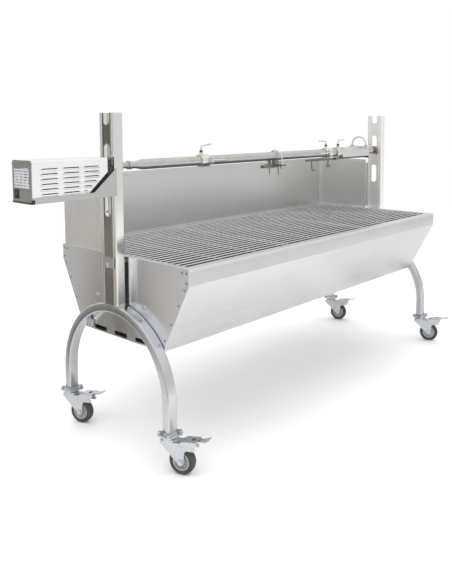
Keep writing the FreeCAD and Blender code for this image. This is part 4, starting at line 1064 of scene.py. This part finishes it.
mounts = Shape()
for corner, sides in CORNERS.items():
    spot = shift(sides[0] * LEG_X, sides[1] * LEG_RADIUS, 0)
    mounts.add(caster_mount(spot))
    at = spot @ Matrix.Rotation(CASTER_ANGLE, 4, "Z")
    for shape, part, angle, material, body, slot in (
            (tyre(), "tyre", 30, tyre_rubber, "wheel_", "tyre_rubber"),
            (hub(), "hub", 30, hub_plastic, "wheel_", "hub_plastic"),
            (axle(), "axle", 30, zinc_plate, "caster_", "zinc_plate"),
            (caster_fork(), "fork", 30, zinc_plate, "caster_", "zinc_plate"),
            (brake_pedal(), "brake_pedal", 26, zinc_plate, "pedal_", "zinc_plate")):
        local = ON_AXLE if part in ("tyre", "hub", "axle") else Matrix.Identity(4)
        piece = Shape().add(shape, at @ local).piece(f"{part}_{corner}", angle)
        dress(piece, material, body + corner, slot, f"caster_{part}_{corner}")
dress(mounts.piece("caster_mounts", 30), zinc_plate, "stand", "zinc_plate", "caster_plates")


# ---- motor details ------------------------------------------------------------------
def rating_plate():
    """Blank plate on the motor's end, held by two small rivets."""
    low_y, high_y, low_z, high_z = -28.0, 45.0, 790.0, 843.0
    shape = slab(box_outline(low_y, high_y, low_z, high_z, 2.5, 5), 0.5, 0.15)
    plate = Shape().add(shape, end_plate(MOTOR_FACE_X - 0.55))
    dome = lathe([(0, 0.9), (0.9, 0.75), (1.5, 0.3), (1.6, 0), (0, 0)], 16)
    rivets = Shape()
    for y in (low_y + 4, high_y - 4):
        rivets.add(dome, towards((MOTOR_FACE_X - 0.5, y, (low_z + high_z) / 2), (-1, 0, 0)))
    return plate, rivets


def end_black_strip():
    """Black strip under the motor's end plate, with its block at the front corner."""
    low_y, high_y = low("motor_end_plate").y, high("motor_end_plate").y
    bottom = low("motor_end_plate").z
    band = box_outline(low_y + 0.5, high_y - 0.5, bottom - 0.2, bottom + 4.5, 1.0, 3)
    black_strip = Shape().add(slab(band, 1.2, 0.3), end_plate(MOTOR_FACE_X - 1.2))
    block = box_outline(MOTOR_FACE_X - 1.0, MOTOR_FACE_X + 9, bottom - 0.4, bottom + 11, 1.2, 3)
    return black_strip.add(slab(block, 1.6, 0.4), upright_plate(low_y - 1.5))


dress(end_black_strip().piece("motor_end_black_strip", 30), black_plastic, "stand", "black_plastic")
plate, rivets = rating_plate()
dress(plate.piece("rating_plate", 30), label_face, "stand", "stainless_sheet")
dress(rivets.piece("rating_plate_rivets", 40), bolt_steel, "stand", "fastener")


# ---- stage, lights and camera -------------------------------------------------------
ROOM_DIM, ROOM_GREY = (0.055, 0.043, 0.028), (0.80, 0.79, 0.77)
ROOM_PALE, ROOM_TOP = (0.80, 0.80, 0.80), (1.0, 1.0, 1.0)
FLOOR_DIM, FLOOR_GREY = (0.06, 0.049, 0.034), (0.33, 0.318, 0.30)
FLOOR_PALE, FLOOR_FAR = (0.79, 0.79, 0.79), (0.58, 0.58, 0.58)
DARK_WAY, ACROSS = (-0.613, 0.790, 0.0), (0.790, 0.613, 0.0)
NEAR_WAY, NEAR_ACROSS = (-0.70, -0.714, 0.0), (0.714, -0.70, 0.0)
PALE_WAY = (0.8, -0.6, 0.0)


def stage_floor():
    """Plain pale floor, a wide round one. Reflections see it grey to the left and pale to the
    right, with a dim patch behind the object's left end and one in front of it."""
    radius, corners = 4500.0, 96
    ring = [(radius * c, radius * d, 0) for c, d in circle(corners)]
    floor = make("floor", ring, [list(range(corners))])
    graph = Graph("floor_paint")
    tree, at = graph.tree, graph.coords
    tone = graph.ramp(graph.noise(0.6, 2.0, 0.5),
                      [(0.3, (0.86, 0.86, 0.86)), (0.7, (0.89, 0.89, 0.89))])
    fade = blend(tree, share(tree, at, PALE_WAY, -1.6, -0.5), FLOOR_GREY, FLOOR_PALE)
    fade = strip(tree, at, fade, FLOOR_FAR, PALE_WAY, 1.2, 2.2, 0.5)
    core = strip(tree, at, fade, FLOOR_DIM, ACROSS, -0.58, -0.34, 0.07)
    fade = strip(tree, at, fade, core, DARK_WAY, 1.4, 9.0, 0.5)
    core = strip(tree, at, fade, FLOOR_DIM, NEAR_ACROSS, -0.75, -0.05, 0.25)
    fade = strip(tree, at, fade, core, NEAR_WAY, 1.5, 2.3, 0.4)
    mirrored = graph.add("LightPath", "Is Glossy Ray", {})
    graph.link("Base Color", blend(tree, mirrored, tone, fade))
    graph.shader.inputs["Roughness"].default_value = 0.9
    floor.data.materials.append(graph.material)


def soft_light(name, where, aim, size, power):
    data = bpy.data.lights.new(name, "AREA")
    data.shape = "RECTANGLE"
    data.size, data.size_y = size
    data.energy = power
    lamp = scene_object(name, data)
    lamp.location = place(where)
    lamp.rotation_euler = (place(aim) - lamp.location).to_track_quat("-Z", "Y").to_euler()
    lamp.visible_glossy = False


def studio():
    """Soft light from above. The camera sees a white room; reflections see it pale, white
    overhead, with one narrow dim patch behind the object's left end."""
    world = bpy.data.worlds.new("studio")
    bpy.context.scene.world = world
    world.use_nodes = True
    tree = world.node_tree
    way = new_node(tree, "TexCoord", "Generated", {})
    walls = blend(tree, share(tree, way, PALE_WAY, -0.7, 0.6), ROOM_GREY, ROOM_PALE)
    core = strip(tree, way, walls, ROOM_DIM, ACROSS, -0.055, 0.045, 0.045)
    walls = strip(tree, way, walls, core, DARK_WAY, 0.8, 2.0, 0.2)
    room = blend(tree, share(tree, way, UP, 0.2, 0.6), walls, ROOM_TOP)
    seen = new_node(tree, "LightPath", "Is Camera Ray", {})
    background = tree.nodes["Background"]
    tree.links.new(blend(tree, seen, room, (1.0, 1.0, 1.0)), background.inputs["Color"])
    background.inputs["Strength"].default_value = 1.0
    soft_light("top", (0, 0, 4200), (0, 0, 0), (10.0, 10.0), 335)
    soft_light("key", (-2200, -3200, 2600), (0, 0, 400), (2.4, 1.8), 18)


def camera():
    """Eye height and to the front left, level enough that the posts stay nearly upright."""
    yaw, pitch, roll = (radians(a) for a in (42.674, 4.5, -0.25))
    forward = Vector((cos(yaw) * cos(pitch), sin(yaw) * cos(pitch),
                      -sin(pitch)))
    right = Vector((sin(yaw), -cos(yaw), 0))
    up = right.cross(forward)
    right, up = (right * cos(roll) + up * sin(roll),
                 up * cos(roll) - right * sin(roll))
    data = bpy.data.cameras.new("camera")
    data.sensor_width = 36.0
    data.lens, data.shift_y = 40.2473, -0.19932
    eye = scene_object("camera", data)
    turn = Matrix((right, up, -forward)).transposed()
    eye.matrix_world = Matrix.Translation(place((-1918.0, -1526.0, 953.4))) @ turn.to_4x4()
    bpy.context.scene.camera = eye
    bpy.context.scene.view_settings.view_transform = "Standard"


stage_floor()
studio()
camera()
